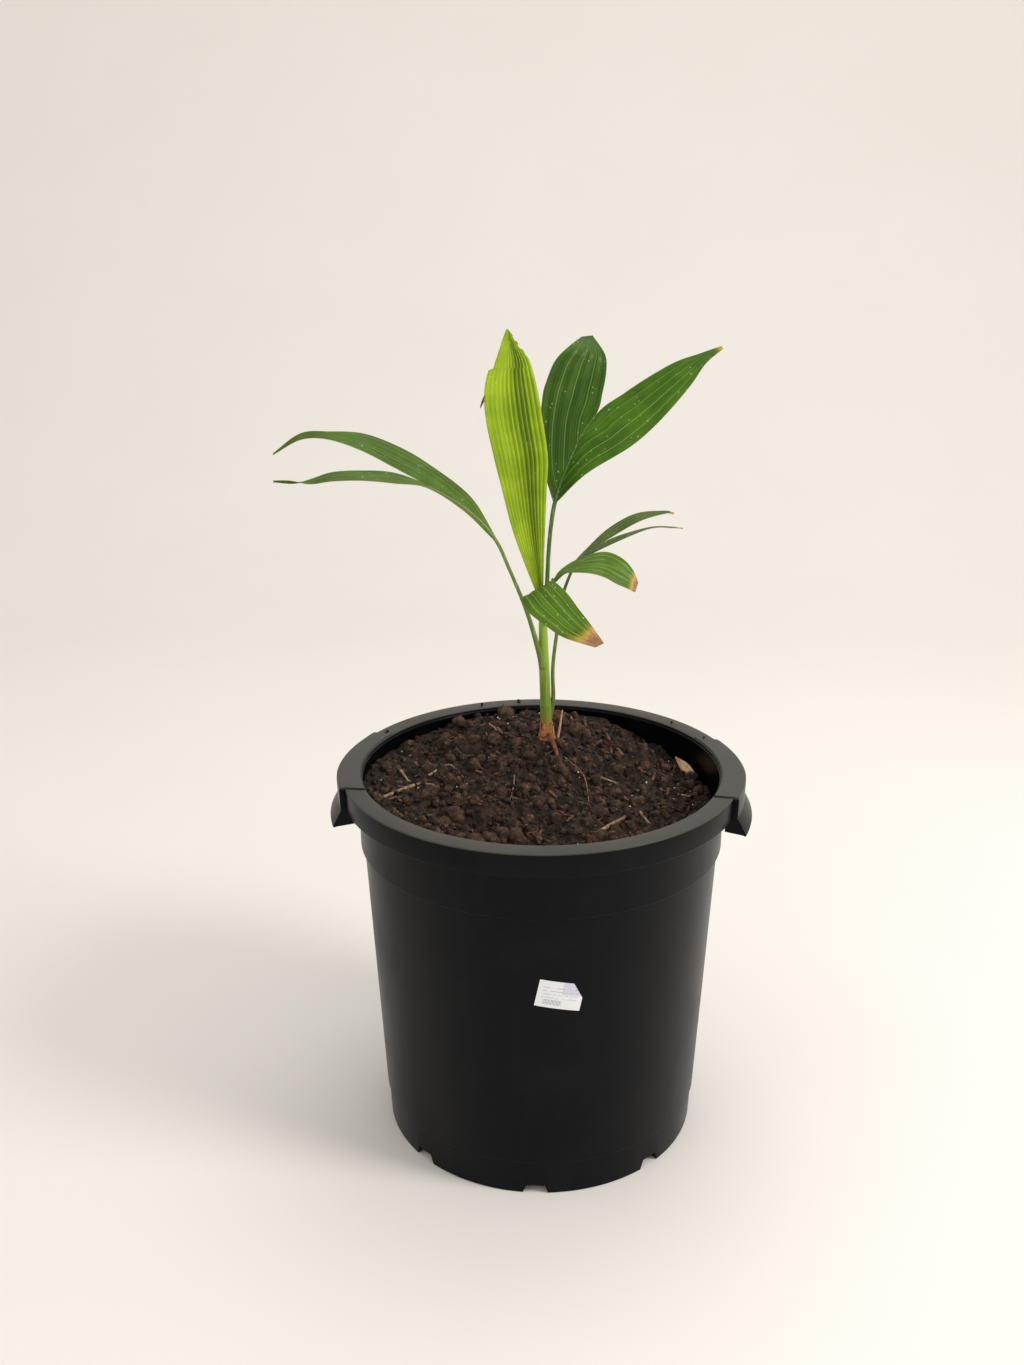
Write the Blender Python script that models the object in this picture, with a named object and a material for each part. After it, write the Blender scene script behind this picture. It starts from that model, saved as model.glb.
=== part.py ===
"""A young solitaire palm in a round black nursery pot.

One stem of wrapped leaf bases stands on a mound of potting mix. It carries a folded spear
leaf and four opened leaves, each a slim stalk with two lobes that part at the fork.
The origin is the centre of the pot's underside, +Z is up, and the label faces -Y.
Sizes below are in millimetres and are turned into metres by MM.
"""

import math

import bmesh
import bpy
from mathutils import Matrix, Vector

MM = 0.001
CLEARANCE = 0.3

# Pot: a 300 mm nursery container with a turned-down rim
POT_SEGMENTS = 72
POT_HEIGHT = 325.0
RIM_OUTER_R = 166.0
RIM_INNER_R = 150.0
RIM_SKIRT_DROP = 19.5
SKIRT_THICK = 2.6
RIM_EDGE = 0.9
BEAD_R = 148.7
BEAD_TOP_DROP = 2.4
BEAD_TALL = 3.2
BAND_R = 152.5
BAND_BOTTOM_Z = 263.0
BODY_TOP_R = 149.5
BODY_BOTTOM_R = 137.5
STEP_Z = 31.0
STEP_IN = 1.2
FOOT_R = 134.7
WALL = 2.4
FLOOR_THICK = 3.0
PAD_R = 58.0
FOOT_RING_INNER_R = 112.0
RECESS_DEEP = 1.6

# The rim is a little proud at its two sides, where a hand grip hangs below it
GRIP_TURN = math.radians(-2.2)
GRIP_ZONE_HALF = 63.0
ZONE_PROUD = 1.2
ZONE_OUT = 4.4
GRIP_HALF_ANGLE = math.radians(19.0)
GRIP_TOP_R = 169.0
GRIP_LOW_R = 177.0
GRIP_LOW_Z = 291.5
GRIP_WEB_R = 159.0
GRIP_THICK = 2.5
GRIP_STEPS = 8

# Eight drain slots are cut through the bottom corner of the pot
DRAIN_COUNT = 8
DRAIN_TURN = math.radians(-91.4)
DRAIN_WIDE = 21.0
DRAIN_NARROW = 15.0
DRAIN_TALL = 9.0
DRAIN_INNER_R = 123.0

# Potting mix: a sloping bed with a mound round the stem's foot
SOIL_GAP = 0.5
SOIL_LEVEL = 300.0
SOIL_TILT = 0.075
BACK_RISE = 21.0
BACK_RISE_AT = (15.0, 150.0)
BACK_RISE_REACH = (85.0, 60.0)
MOUND_TALL = 25.6
MOUND_SIDE = 38.0
MOUND_FRONT = 60.0
MOUND_BACK = 34.0
FOOT_SEAT_R = 13.0
SOIL_RINGS = (13.0, 20.0, 32.0, 46.0, 62.0, 79.0, 97.0, 115.0, 132.0)
# x, y, radius and height of each large clod
CLODS = (
    (82, 76, 21, 14),
    (-46, -56, 26, 12),
    (40, 36, 12, 7),
    (30, -70, 24, 7),
    (66, -46, 20, 5),
    (-104, -34, 18, 6),
    (-66, 66, 24, 5),
    (-108, 20, 16, 4),
    (104, -30, 18, 5),
)

# Stem: wrapped leaf bases, widest where the torn outer base meets the mix
STEM_ROUTE = ((5, 52, 331.3), (5, 52, 339), (4, 52, 361), (3, 51.5, 384), (2, 51, 407), (1.5, 50, 429), (1, 50, 448))
STEM_RADII = (8.2, 6.0, 4.9, 4.6, 4.4, 3.9, 3.6)
STEM_SIDES = 12
FOOT_ROOT = ((7, 49, 336), (12, 29, 330.5), (16, 10, 324.5))
FOOT_ROOT_RADII = (2.4, 1.9, 0.8)

# Leaf stalks run on as the leaf's rib up to the fork between its two lobes
STALK_SIDES = 8
STALK_SPANS = 12
RIB_PAST_FORK = 2.0
STALKS = {
    "left_leaf_stalk": (
        ((1, 48, 396), (-2, 47, 411), (-12, 43, 447), (-27, 40, 486), (-39, 38, 512),
         (-62, 34, 537), (-92, 30, 557)),
        (2.6, 2.2, 1.7, 1.5, 1.6, 1.6, 1.5),
    ),
    "spear_leaf_stalk": (
        ((1, 50, 446), (0, 49, 456), (-1, 48, 467)),
        (2.9, 2.8, 2.6),
    ),
    "tall_leaf_stalk": (
        ((3, 54.5, 445), (4.5, 57.5, 463), (6, 62, 495), (8, 66, 517), (11, 69, 535),
         (17, 73, 554), (32, 80, 588), (45, 84, 606)),
        (1.9, 1.9, 1.8, 1.8, 1.9, 1.8, 1.6, 1.5),
    ),
    "drooping_leaf_stalk": (
        ((3.5, 46, 441), (5, 44, 454), (7.5, 42, 464), (9.5, 41.5, 477)),
        (2.1, 2.1, 2.1, 2.1),
    ),
    "low_leaf_stalk": (
        ((8, 53, 352), (10.5, 54.5, 367), (10, 55, 387), (11, 57, 405), (16, 62, 442), (20, 65, 462),
         (30, 71.5, 484), (39, 75, 490.5)),
        (2.2, 1.9, 1.7, 1.6, 1.5, 1.5, 1.5, 1.5),
    ),
}

# Each lobe is a row of stations from base to tip. A station gives the lobe's inner side and
# its outer margin. On the rib the inner side is a place along the leaf's stalk, where 1 is
# the fork, and beyond the fork it is a point of its own.
LOBES = {
    "left_leaf_far_lobe": (
        (0.667, (-38, 39.5, 513)),
        (0.833, (-59, 51, 544)),
        (1.0, (-94, 58, 570)),
        ((-119, 34, 571), (-119, 60, 584)),
        ((-146, 39, 584), (-146, 60, 594)),
        ((-173, 44, 592), (-173, 58, 596)),
        ((-196, 48, 591), (-197, 55, 595)),
        ((-220, 52, 578), (-220, 53.5, 579)),
    ),
    "left_leaf_near_lobe": (
        (0.667, (-39.5, 36.5, 511)),
        (0.833, (-62, 24, 537)),
        (1.0, (-90, 10, 559)),
        ((-118, 26, 568), (-116, 4, 564)),
        ((-143, 20, 571), (-141, 0, 567)),
        ((-166, 13, 571), (-164, -3, 567)),
        ((-182, 6, 567), (-181, -4, 565)),
        ((-194, -2, 565), (-197, -6, 568)),
        ((-209, -10, 567.5), (-209, -10, 569)),
    ),
    "spear_leaf": (
        ((-4, 46.5, 466), (1.5, 46.5, 466)),
        ((-13, 44, 486), (2, 45, 490)),
        ((-24, 42, 518), (3, 44, 522)),
        ((-32, 41, 550), (4, 43, 551)),
        ((-39, 41, 579), (5, 43, 577)),
        ((-45, 42, 608), (1, 45, 605)),
        ((-46, 44, 631), (-4, 48, 632)),
        ((-41, 47, 652), (-10, 51, 653)),
        ((-34, 50, 665), (-18, 53, 665)),
        ((-28.5, 53, 678), (-26.5, 53, 677)),
    ),
    "tall_leaf_left_lobe": (
        (0.571, (9, 68, 537)),
        (0.786, (-2, 68, 578)),
        (1.0, (0, 76, 619)),
        ((50, 88, 623), (4, 81, 635)),
        ((53, 92, 640), (11, 87, 650)),
        ((52, 97, 653), (22, 95, 660)),
        ((42, 113, 667), (33, 113, 666)),
    ),
    "tall_leaf_right_lobe": (
        (0.571, (12, 68, 535)),
        (0.786, (36, 62, 560)),
        (1.0, (71, 66, 581)),
        ((68, 87, 623), (90, 70, 596)),
        ((90, 90, 637), (108, 76, 614)),
        ((111, 93, 648), (123, 83, 631)),
        ((130, 96, 654), (135, 90, 647)),
        ((148, 98, 660), (149, 97, 657.5)),
    ),
    "drooping_leaf_right_lobe": (
        (0.92, (12.5, 42, 474)),
        ((15, 46, 482), (20, 38, 482)),
        ((26, 50, 489), (29, 34, 484)),
        ((40, 54, 494), (41, 31, 484)),
        ((54, 56, 496), (52, 30, 481)),
        ((67, 55, 491), (62, 32, 475)),
        ((76, 53, 482), (71, 36, 470)),
        ((81, 50, 471), (78, 42, 465)),
    ),
    "drooping_leaf_front_lobe": (
        (0.75, (4, 41, 462)),
        (0.92, (-6, 34, 463)),
        ((9, 31, 478), (-17, 25, 464)),
        ((14, 25, 476), (-15, 17, 462)),
        ((22, 20, 469), (-10, 11, 456)),
        ((31, 14, 458), (3, 6, 447)),
        ((39, 8, 449), (18, 2, 438)),
        ((51, -1, 434), (44, -3, 431)),
    ),
    "low_leaf_far_lobe": (
        (0.857, (29.5, 73, 485)),
        (1.0, (37, 84, 490)),
        ((59, 82, 502), (57, 97, 506)),
        ((84, 88, 515), (81, 103, 518)),
        ((106, 95, 520), (105, 101, 521)),
        ((113, 97, 519), (113.5, 98.5, 520)),
    ),
    "low_leaf_near_lobe": (
        (0.857, (31, 70, 484)),
        (1.0, (40, 68, 490)),
        ((59, 74, 503), (59, 63, 501)),
        ((83, 74, 511), (83, 62, 512)),
        ((96, 72, 514), (96, 64, 515)),
        ((109, 71, 514), (109, 67, 514)),
        ((119, 70, 513), (119, 69, 513)),
    ),
}
LOBE_SPANS = 14
# pleats across a lobe, and the depth of one pleat as a share of the lobe's width
PLEATS = {"spear_leaf": (4, 0.085)}
PLAIN_PLEATS = (2, 0.035)
BLADE_THICK = 2.2

# Label: a small sticker with one clipped corner, stuck on aslant
LABEL_WIDE = 36.0
LABEL_TALL = 24.0
LABEL_CLIP = (9.0, 12.0)
LABEL_THICK = 0.35
LABEL_Z = 194.5
LABEL_TURN = math.radians(-84.0)
LABEL_SLANT = math.radians(-11.0)
LABEL_STRIPS = 6

# Colours, as linear RGB
POT_BLACK = (0.012, 0.014, 0.018)
MIX_BROWN = (0.060, 0.034, 0.020)
STEM_GREEN = (0.24, 0.33, 0.04)
SPEAR_GREEN = (0.36, 0.52, 0.03)
LEAF_GREEN = (0.06, 0.16, 0.02)
PAPER_WHITE = (0.85, 0.86, 0.88)


def clear_scene():
    for old in list(bpy.data.objects):
        bpy.data.objects.remove(old, do_unlink=True)


def material(name, colour, roughness):
    made = bpy.data.materials.new(name)
    made.use_nodes = True
    shader = made.node_tree.nodes["Principled BSDF"]
    shader.inputs["Base Color"].default_value = (*colour, 1.0)
    shader.inputs["Roughness"].default_value = roughness
    shader.inputs["Metallic"].default_value = 0.0
    return made


def object_from(bm, name, finish=None):
    """Turns a mesh drawn in millimetres into an object in metres, shaded smooth."""
    bmesh.ops.scale(bm, vec=(MM, MM, MM), verts=bm.verts)
    mesh = bpy.data.meshes.new(name)
    bm.to_mesh(mesh)
    bm.free()
    mesh.shade_smooth()
    mesh.set_sharp_from_angle(angle=math.radians(35))
    made = bpy.data.objects.new(name, mesh)
    bpy.context.scene.collection.objects.link(made)
    if finish:
        mesh.materials.append(finish)
    return made


def helper(obj):
    """Marks a cutter: it shapes other pieces and is no piece itself."""
    obj.hide_render = True
    obj.display_type = "WIRE"
    return obj


def boolean(obj, other, operation):
    step = obj.modifiers.new(other.name, "BOOLEAN")
    step.operation = operation
    step.object = other
    return step


def smooth_point(points, place):
    """The point at place, from 0 to 1, on a smooth curve through the points."""
    spans = len(points) - 1
    span = min(int(place * spans), spans - 1)
    t = place * spans - span
    before, start, end, after = (
        Vector(points[min(max(span + k, 0), spans)]) for k in (-1, 0, 1, 2)
    )
    if span == 0:
        before = 2 * start - end
    if span == spans - 1:
        after = 2 * end - start
    return 0.5 * (
        2 * start
        + (end - before) * t
        + (2 * before - 5 * start + 4 * end - after) * t**2
        + (3 * start - before - 3 * end + after) * t**3
    )


def smooth_value(values, place):
    """A number read from evenly spaced values, eased from one to the next."""
    return smooth_point([(value, 0, 0) for value in values], place).x


def add_rings(bm, rings):
    """Closes a row of rings of vertices into one skin with a cap at each end."""
    loops = [[bm.verts.new(point) for point in ring] for ring in rings]
    for low, high in zip(loops, loops[1:]):
        for k in range(len(low)):
            following = (k + 1) % len(low)
            bm.faces.new((low[k], low[following], high[following], high[k]))
    bm.faces.new(list(reversed(loops[0])))
    bm.faces.new(loops[-1])
    return loops


def rod_mesh(route, radii, sides, spans, grow=0.0, past=0.0):
    """A tapering round rod along a smooth route, with flat ends, run on past its last point."""
    places = [k / spans for k in range(spans + 1)]
    centres = [smooth_point(route, place) for place in places]
    centres[0] -= (centres[1] - centres[0]).normalized() * grow
    centres[-1] += (centres[-1] - centres[-2]).normalized() * (grow + past)
    across = Vector((1, 0, 0))
    rings = []
    for k, centre in enumerate(centres):
        along = (centres[min(k + 1, spans)] - centres[max(k - 1, 0)]).normalized()
        across = (across - along * across.dot(along)).normalized()
        other = along.cross(across)
        radius = smooth_value(radii, places[k]) + grow
        turns = [2 * math.pi * side / sides for side in range(sides)]
        rings.append([centre + radius * (across * math.cos(a) + other * math.sin(a)) for a in turns])
    bm = bmesh.new()
    add_rings(bm, rings)
    return bm


# Pot


def inner_wall_r(z):
    """Inner radius of the pot's wall at a height below the bead."""
    return outer_wall_r(z) - WALL


def outer_wall_r(z):
    if z >= BAND_BOTTOM_Z:
        return BAND_R
    if z >= STEP_Z:
        share = (z - STEP_Z) / (BAND_BOTTOM_Z - STEP_Z)
        return BODY_BOTTOM_R + (BODY_TOP_R - BODY_BOTTOM_R) * share
    return FOOT_R + (BODY_BOTTOM_R - STEP_IN - FOOT_R) * z / STEP_Z


def pot_profile():
    """Half of the pot's section, from the axis up the inside, over the rim and down the outside."""
    top = POT_HEIGHT
    skirt_z = top - RIM_SKIRT_DROP
    bead_z = top - BEAD_TOP_DROP
    bead_low_z = bead_z - BEAD_TALL
    inside = [
        (0, FLOOR_THICK),
        (inner_wall_r(FLOOR_THICK) - 2, FLOOR_THICK),
        (inner_wall_r(FLOOR_THICK), FLOOR_THICK + 2),
        (inner_wall_r(STEP_Z - 1), STEP_Z - 1),
        (inner_wall_r(STEP_Z), STEP_Z),
        (BODY_TOP_R - WALL, BAND_BOTTOM_Z - 2),
        (BAND_R - WALL, BAND_BOTTOM_Z + 1),
        (BAND_R - WALL, bead_low_z - 1),
        (BEAD_R, bead_low_z),
        (BEAD_R, bead_z),
        (RIM_INNER_R, bead_z + 0.2),
    ]
    rim = [
        (RIM_INNER_R, top - RIM_EDGE),
        (RIM_INNER_R + RIM_EDGE, top),
        (RIM_OUTER_R - RIM_EDGE, top),
        (RIM_OUTER_R, top - RIM_EDGE),
        (RIM_OUTER_R - 0.5, skirt_z),
        (RIM_OUTER_R - SKIRT_THICK, skirt_z),
        (RIM_OUTER_R - SKIRT_THICK, top - SKIRT_THICK),
        (BAND_R + 0.6, top - SKIRT_THICK),
    ]
    outside = [
        (BAND_R, BAND_BOTTOM_Z + 1.2),
        (BODY_TOP_R, BAND_BOTTOM_Z - 0.6),
        (BODY_BOTTOM_R, STEP_Z + 0.8),
        (BODY_BOTTOM_R - STEP_IN, STEP_Z),
        (FOOT_R, 0.9),
        (FOOT_R - 0.9, 0),
        (FOOT_RING_INNER_R, 0),
        (FOOT_RING_INNER_R - 2, RECESS_DEEP),
        (PAD_R + 2, RECESS_DEEP),
        (PAD_R, 0),
        (0, 0),
    ]
    return inside + rim + outside


def turned(name, profile, finish):
    """A profile turned round the Z axis. It starts and ends on the axis, outer side down."""
    bm = bmesh.new()
    points = [bm.verts.new((r, 0, z)) for r, z in profile]
    for first, second in zip(points, points[1:]):
        bm.edges.new((first, second))
    made = object_from(bm, name, finish)
    screw = made.modifiers.new("Turn", "SCREW")
    screw.steps = screw.render_steps = POT_SEGMENTS
    screw.use_merge_vertices = True
    screw.merge_threshold = 0.00001
    screw.use_smooth_shade = True
    return made


def on_side(radius, angle, z, side):
    """A point in the grip's own turned frame: side 1 is +X and -1 is -X."""
    turn = GRIP_TURN + (0 if side > 0 else math.pi)
    return Vector((radius * math.cos(angle + turn), radius * math.sin(angle + turn), z))


def rim_pad(side):
    """The proud stretch of the rim over a grip. Its ends are cut square across."""
    top = POT_HEIGHT + ZONE_PROUD
    skirt_z = POT_HEIGHT - RIM_SKIRT_DROP - 0.4
    outer = RIM_OUTER_R + ZONE_OUT
    section = [
        (RIM_INNER_R - 0.1, POT_HEIGHT - 1.8),
        (RIM_OUTER_R - 1.9, POT_HEIGHT - 1.8),
        (RIM_OUTER_R - 2.1, skirt_z),
        (outer - 0.6, skirt_z),
        (outer, top - RIM_EDGE),
        (outer - RIM_EDGE, top),
        (RIM_INNER_R + 0.6, top),
        (RIM_INNER_R - 0.1, top - 0.7),
    ]
    rings = []
    for step in range(GRIP_STEPS + 1):
        share = 2 * step / GRIP_STEPS - 1
        rings.append([on_side(r, share * math.asin(GRIP_ZONE_HALF / r), z, side) for r, z in section])
    bm = bmesh.new()
    add_rings(bm, rings)
    bmesh.ops.recalc_face_normals(bm, faces=bm.faces)
    return object_from(bm, f"rim_pad_{side}")


def grip_part(name, side, section, start, end, steps):
    rings = []
    for step in range(steps + 1):
        angle = start + (end - start) * step / steps
        rings.append([on_side(r, angle, z, side) for r, z in section])
    bm = bmesh.new()
    add_rings(bm, rings)
    bmesh.ops.recalc_face_normals(bm, faces=bm.faces)
    return object_from(bm, name)


def grip_pieces(side):
    """A lip that flares out below the rim's skirt, with a web at each end."""
    top_z = POT_HEIGHT - RIM_SKIRT_DROP + 1.5
    lip = [
        (GRIP_TOP_R - GRIP_THICK, top_z),
        (GRIP_TOP_R, top_z),
        (GRIP_LOW_R, GRIP_LOW_Z + 0.6),
        (GRIP_LOW_R - 0.4, GRIP_LOW_Z),
        (GRIP_LOW_R - GRIP_THICK, GRIP_LOW_Z),
    ]
    web = [
        (GRIP_WEB_R + 2, top_z + 14),
        (GRIP_TOP_R - 0.5, top_z + 14),
        (GRIP_TOP_R - 0.5, top_z - 1),
        (GRIP_LOW_R - 1, GRIP_LOW_Z + 0.3),
        (GRIP_WEB_R, GRIP_LOW_Z + 1.3),
    ]
    pieces = [grip_part(f"grip_lip_{side}", side, lip, -GRIP_HALF_ANGLE, GRIP_HALF_ANGLE, GRIP_STEPS)]
    thick = GRIP_THICK / GRIP_TOP_R
    for end in (-1, 1):
        inward = end * (GRIP_HALF_ANGLE - thick)
        outward = end * (GRIP_HALF_ANGLE - 0.0005)
        pieces.append(grip_part(f"grip_web_{side}_{end}", side, web, inward, outward, 1))
    return pieces


def drain_cutter(number):
    """A block, narrower at its top, set across the bottom corner of the pot."""
    low = -2.0
    per_mm = (DRAIN_WIDE - DRAIN_NARROW) / DRAIN_TALL
    low_half = (DRAIN_WIDE - per_mm * low) / 2
    top_half = DRAIN_NARROW / 2
    bm = bmesh.new()
    sections = []
    for radius in (DRAIN_INNER_R, FOOT_R + 8):
        sections.append(
            [
                Vector((radius, -low_half, low)),
                Vector((radius, low_half, low)),
                Vector((radius, top_half, DRAIN_TALL)),
                Vector((radius, -top_half, DRAIN_TALL)),
            ]
        )
    add_rings(bm, sections)
    turn = DRAIN_TURN + 2 * math.pi * number / DRAIN_COUNT
    bmesh.ops.rotate(bm, verts=bm.verts, cent=(0, 0, 0), matrix=Matrix.Rotation(turn, 3, "Z"))
    bmesh.ops.recalc_face_normals(bm, faces=bm.faces)
    return helper(object_from(bm, f"drain_cutter_{number}"))


def build_pot():
    pot = turned("pot", pot_profile(), material("pot_plastic", POT_BLACK, 0.42))
    for side in (1, -1):
        for piece in [rim_pad(side), *grip_pieces(side)]:
            boolean(pot, helper(piece), "UNION")
    for number in range(DRAIN_COUNT):
        boolean(pot, drain_cutter(number), "DIFFERENCE")


# Potting mix


def hump(x, y, centre, reach_x, reach_y):
    """A smooth hump from 0 to 1 with its top at the centre."""
    return math.exp(-0.5 * (((x - centre[0]) / reach_x) ** 2 + ((y - centre[1]) / reach_y) ** 2))


def soil_height(x, y):
    """Height of the mix: a tilted bed, high at the back, the stem's mound and the larger clods."""
    foot = STEM_ROUTE[0]
    height = SOIL_LEVEL - SOIL_TILT * x + BACK_RISE * hump(x, y, BACK_RISE_AT, *BACK_RISE_REACH)
    height += MOUND_TALL * hump(x, y, foot, MOUND_SIDE, MOUND_FRONT if y < foot[1] else MOUND_BACK)
    for clod_x, clod_y, radius, tall in CLODS:
        away = math.hypot(x - clod_x, y - clod_y) / radius
        if away < 1:
            height += tall * (1 - away**2) ** 1.5
    return height


def build_soil():
    """The mix fills the pot. Its top is drawn in rings round the stem's flat seat."""
    seat_x, seat_y, foot_z = STEM_ROUTE[0]
    seat_z = foot_z - CLEARANCE
    edge_r = inner_wall_r(BAND_BOTTOM_Z + 5) - SOIL_GAP
    turns = [2 * math.pi * k / POT_SEGMENTS for k in range(POT_SEGMENTS)]
    rings = []
    for radius in SOIL_RINGS:
        # rings slide from the stem's seat to the pot's axis as they widen
        lag = max(0.0, 1 - (radius - FOOT_SEAT_R) / (edge_r - FOOT_SEAT_R))
        ring = []
        for turn in turns:
            x = seat_x * lag + radius * math.cos(turn)
            y = seat_y * lag + radius * math.sin(turn)
            ring.append((x, y, seat_z if radius <= FOOT_SEAT_R else soil_height(x, y)))
        rings.append(ring)
    rings.append([(edge_r * math.cos(a), edge_r * math.sin(a), wall_soil_z(a, edge_r)) for a in turns])
    for radius, z in soil_side():
        rings.append([(radius * math.cos(a), radius * math.sin(a), z) for a in turns])
    bm = bmesh.new()
    add_rings(bm, list(reversed(rings)))
    object_from(bm, "soil", material("potting_mix", MIX_BROWN, 0.95))


def wall_soil_z(angle, radius):
    """The mix meets the wall below the bead."""
    highest = POT_HEIGHT - BEAD_TOP_DROP - BEAD_TALL - 2
    return min(soil_height(radius * math.cos(angle), radius * math.sin(angle)), highest)


def soil_side():
    """Radius and height of the mix where the wall steps, from the band down to the floor."""
    return [
        (BAND_R - WALL - SOIL_GAP, BAND_BOTTOM_Z + 1.5),
        (BODY_TOP_R - WALL - SOIL_GAP, BAND_BOTTOM_Z - 1.5),
        (inner_wall_r(STEP_Z) - SOIL_GAP, STEP_Z + 0.5),
        (inner_wall_r(STEP_Z - 1) - SOIL_GAP, STEP_Z - 0.5),
        (inner_wall_r(FLOOR_THICK) - 2 - SOIL_GAP, FLOOR_THICK + SOIL_GAP),
    ]


# Palm


def build_stem(finish):
    """The stem with the one short root that shows on the mound."""
    stem = object_from(rod_mesh(STEM_ROUTE, STEM_RADII, STEM_SIDES, STALK_SPANS), "stem", finish)
    root = object_from(rod_mesh(FOOT_ROOT, FOOT_ROOT_RADII, STALK_SIDES, 4), "foot_root")
    boolean(stem, helper(root), "UNION")
    grown = rod_mesh(STEM_ROUTE, STEM_RADII, STEM_SIDES, STALK_SPANS, grow=CLEARANCE)
    return helper(object_from(grown, "stem_room"))


def build_stalk(name, finish, stem_room):
    """One leaf stalk, cut back from the stem. Returns its clearance body."""
    route, radii = STALKS[name]
    rod = rod_mesh(route, radii, STALK_SIDES, STALK_SPANS, past=RIB_PAST_FORK)
    stalk = object_from(rod, name, finish)
    boolean(stalk, stem_room, "DIFFERENCE")
    grown = rod_mesh(route, radii, STALK_SIDES, STALK_SPANS, grow=CLEARANCE, past=RIB_PAST_FORK)
    return helper(object_from(grown, f"{name}_room"))


def pleat_height(share, folds):
    """Zigzag across a lobe, from -1 at each valley to 1 at each ridge."""
    return 1 - 2 * abs(2 * (share * folds % 1.0) - 1)


def inner_point(stations, route, place):
    """The lobe's inner side: it follows the rib as far as the fork."""
    spans = len(stations) - 1
    span = min(int(place * spans), spans - 1)
    start, end = stations[span][0], stations[span + 1][0]
    if isinstance(start, float) and isinstance(end, float):
        return smooth_point(route, start + (end - start) * (place * spans - span))
    sides = [smooth_point(route, side) if isinstance(side, float) else side for side, _ in stations]
    return smooth_point(sides, place)


def blade_row(stations, route, place, pleats):
    """Points across a lobe from its inner side to its margin, with its pleats."""
    folds, depth = pleats
    inner = inner_point(stations, route, place)
    margin = smooth_point([pair[1] for pair in stations], place)
    step = 0.01
    before = inner_point(stations, route, max(place - step, 0.0))
    after = inner_point(stations, route, min(place + step, 1.0))
    face = (margin - inner).cross(after - before).normalized()
    swing = face * depth * (margin - inner).length
    shares = [k / (2 * folds) for k in range(2 * folds + 1)]
    return [inner.lerp(margin, share) + swing * pleat_height(share, folds) for share in shares]


def build_lobe(name, finish, route, rib_room):
    """A thin pleated blade between its rib side and its outer margin, cut clear of the rib."""
    stations = LOBES[name]
    pleats = PLEATS.get(name, PLAIN_PLEATS)
    bm = bmesh.new()
    rows = []
    for span in range(LOBE_SPANS + 1):
        row = blade_row(stations, route, span / LOBE_SPANS, pleats)
        rows.append([bm.verts.new(point) for point in row])
    for low, high in zip(rows, rows[1:]):
        for k in range(len(low) - 1):
            bm.faces.new((low[k], low[k + 1], high[k + 1], high[k]))
    blade = object_from(bm, name, finish)
    thick = blade.modifiers.new("Thickness", "SOLIDIFY")
    thick.thickness = BLADE_THICK * MM
    thick.offset = 0.0
    # the exact solver drops a whole lobe whose thin edge lies along the rib's centre line
    boolean(blade, rib_room, "DIFFERENCE").solver = "MANIFOLD"


def build_palm():
    leaf = material("leaf", LEAF_GREEN, 0.35)
    young = material("young_leaf", SPEAR_GREEN, 0.4)
    stalk_finish = material("stalk", STEM_GREEN, 0.45)
    stem_room = build_stem(material("stem", STEM_GREEN, 0.5))
    rooms = {name: build_stalk(name, stalk_finish, stem_room) for name in STALKS}
    for name in LOBES:
        leaf_name = "_".join(name.split("_")[:2])
        stalk = f"{leaf_name}_stalk"
        finish = young if leaf_name == "spear_leaf" else leaf
        build_lobe(name, finish, STALKS[stalk][0], rooms[stalk])


# Label


def build_label():
    """A bent sheet with a clipped top right corner, just off the wall."""
    half_w, half_t = LABEL_WIDE / 2, LABEL_TALL / 2
    clip_w, clip_t = LABEL_CLIP
    outline = [
        (-half_w, -half_t),
        (half_w, -half_t),
        (half_w, half_t - clip_t),
        (half_w - clip_w, half_t),
        (-half_w, half_t),
    ]
    bm = bmesh.new()
    bm.faces.new([bm.verts.new((s, t, 0)) for s, t in outline])
    for strip in range(1, LABEL_STRIPS):
        cut = -half_w + LABEL_WIDE * strip / LABEL_STRIPS
        everything = bm.verts[:] + bm.edges[:] + bm.faces[:]
        bmesh.ops.bisect_plane(bm, geom=everything, plane_co=(cut, 0, 0), plane_no=(1, 0, 0))
    for vert in bm.verts:
        s, t, _ = vert.co
        side = s * math.cos(LABEL_SLANT) - t * math.sin(LABEL_SLANT)
        z = LABEL_Z + s * math.sin(LABEL_SLANT) + t * math.cos(LABEL_SLANT)
        radius = outer_wall_r(z) + CLEARANCE
        turn = LABEL_TURN + side / radius
        vert.co = (radius * math.cos(turn), radius * math.sin(turn), z)
    label = object_from(bm, "label", material("label_paper", PAPER_WHITE, 0.4))
    thick = label.modifiers.new("Thickness", "SOLIDIFY")
    thick.thickness = LABEL_THICK * MM
    thick.offset = 1.0


clear_scene()
build_pot()
build_soil()
build_palm()
build_label()
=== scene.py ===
"""Looks of a young solitaire palm in a round black nursery pot.

Every piece is drawn in millimetres, in the frame of the solids, and MM turns it into metres.
The stalks and lobes follow the same stations as the solids, with finer and thinner blades.
"""

import math

import bmesh
import bpy
import numpy as np
from mathutils import Matrix, Vector, noise


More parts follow.
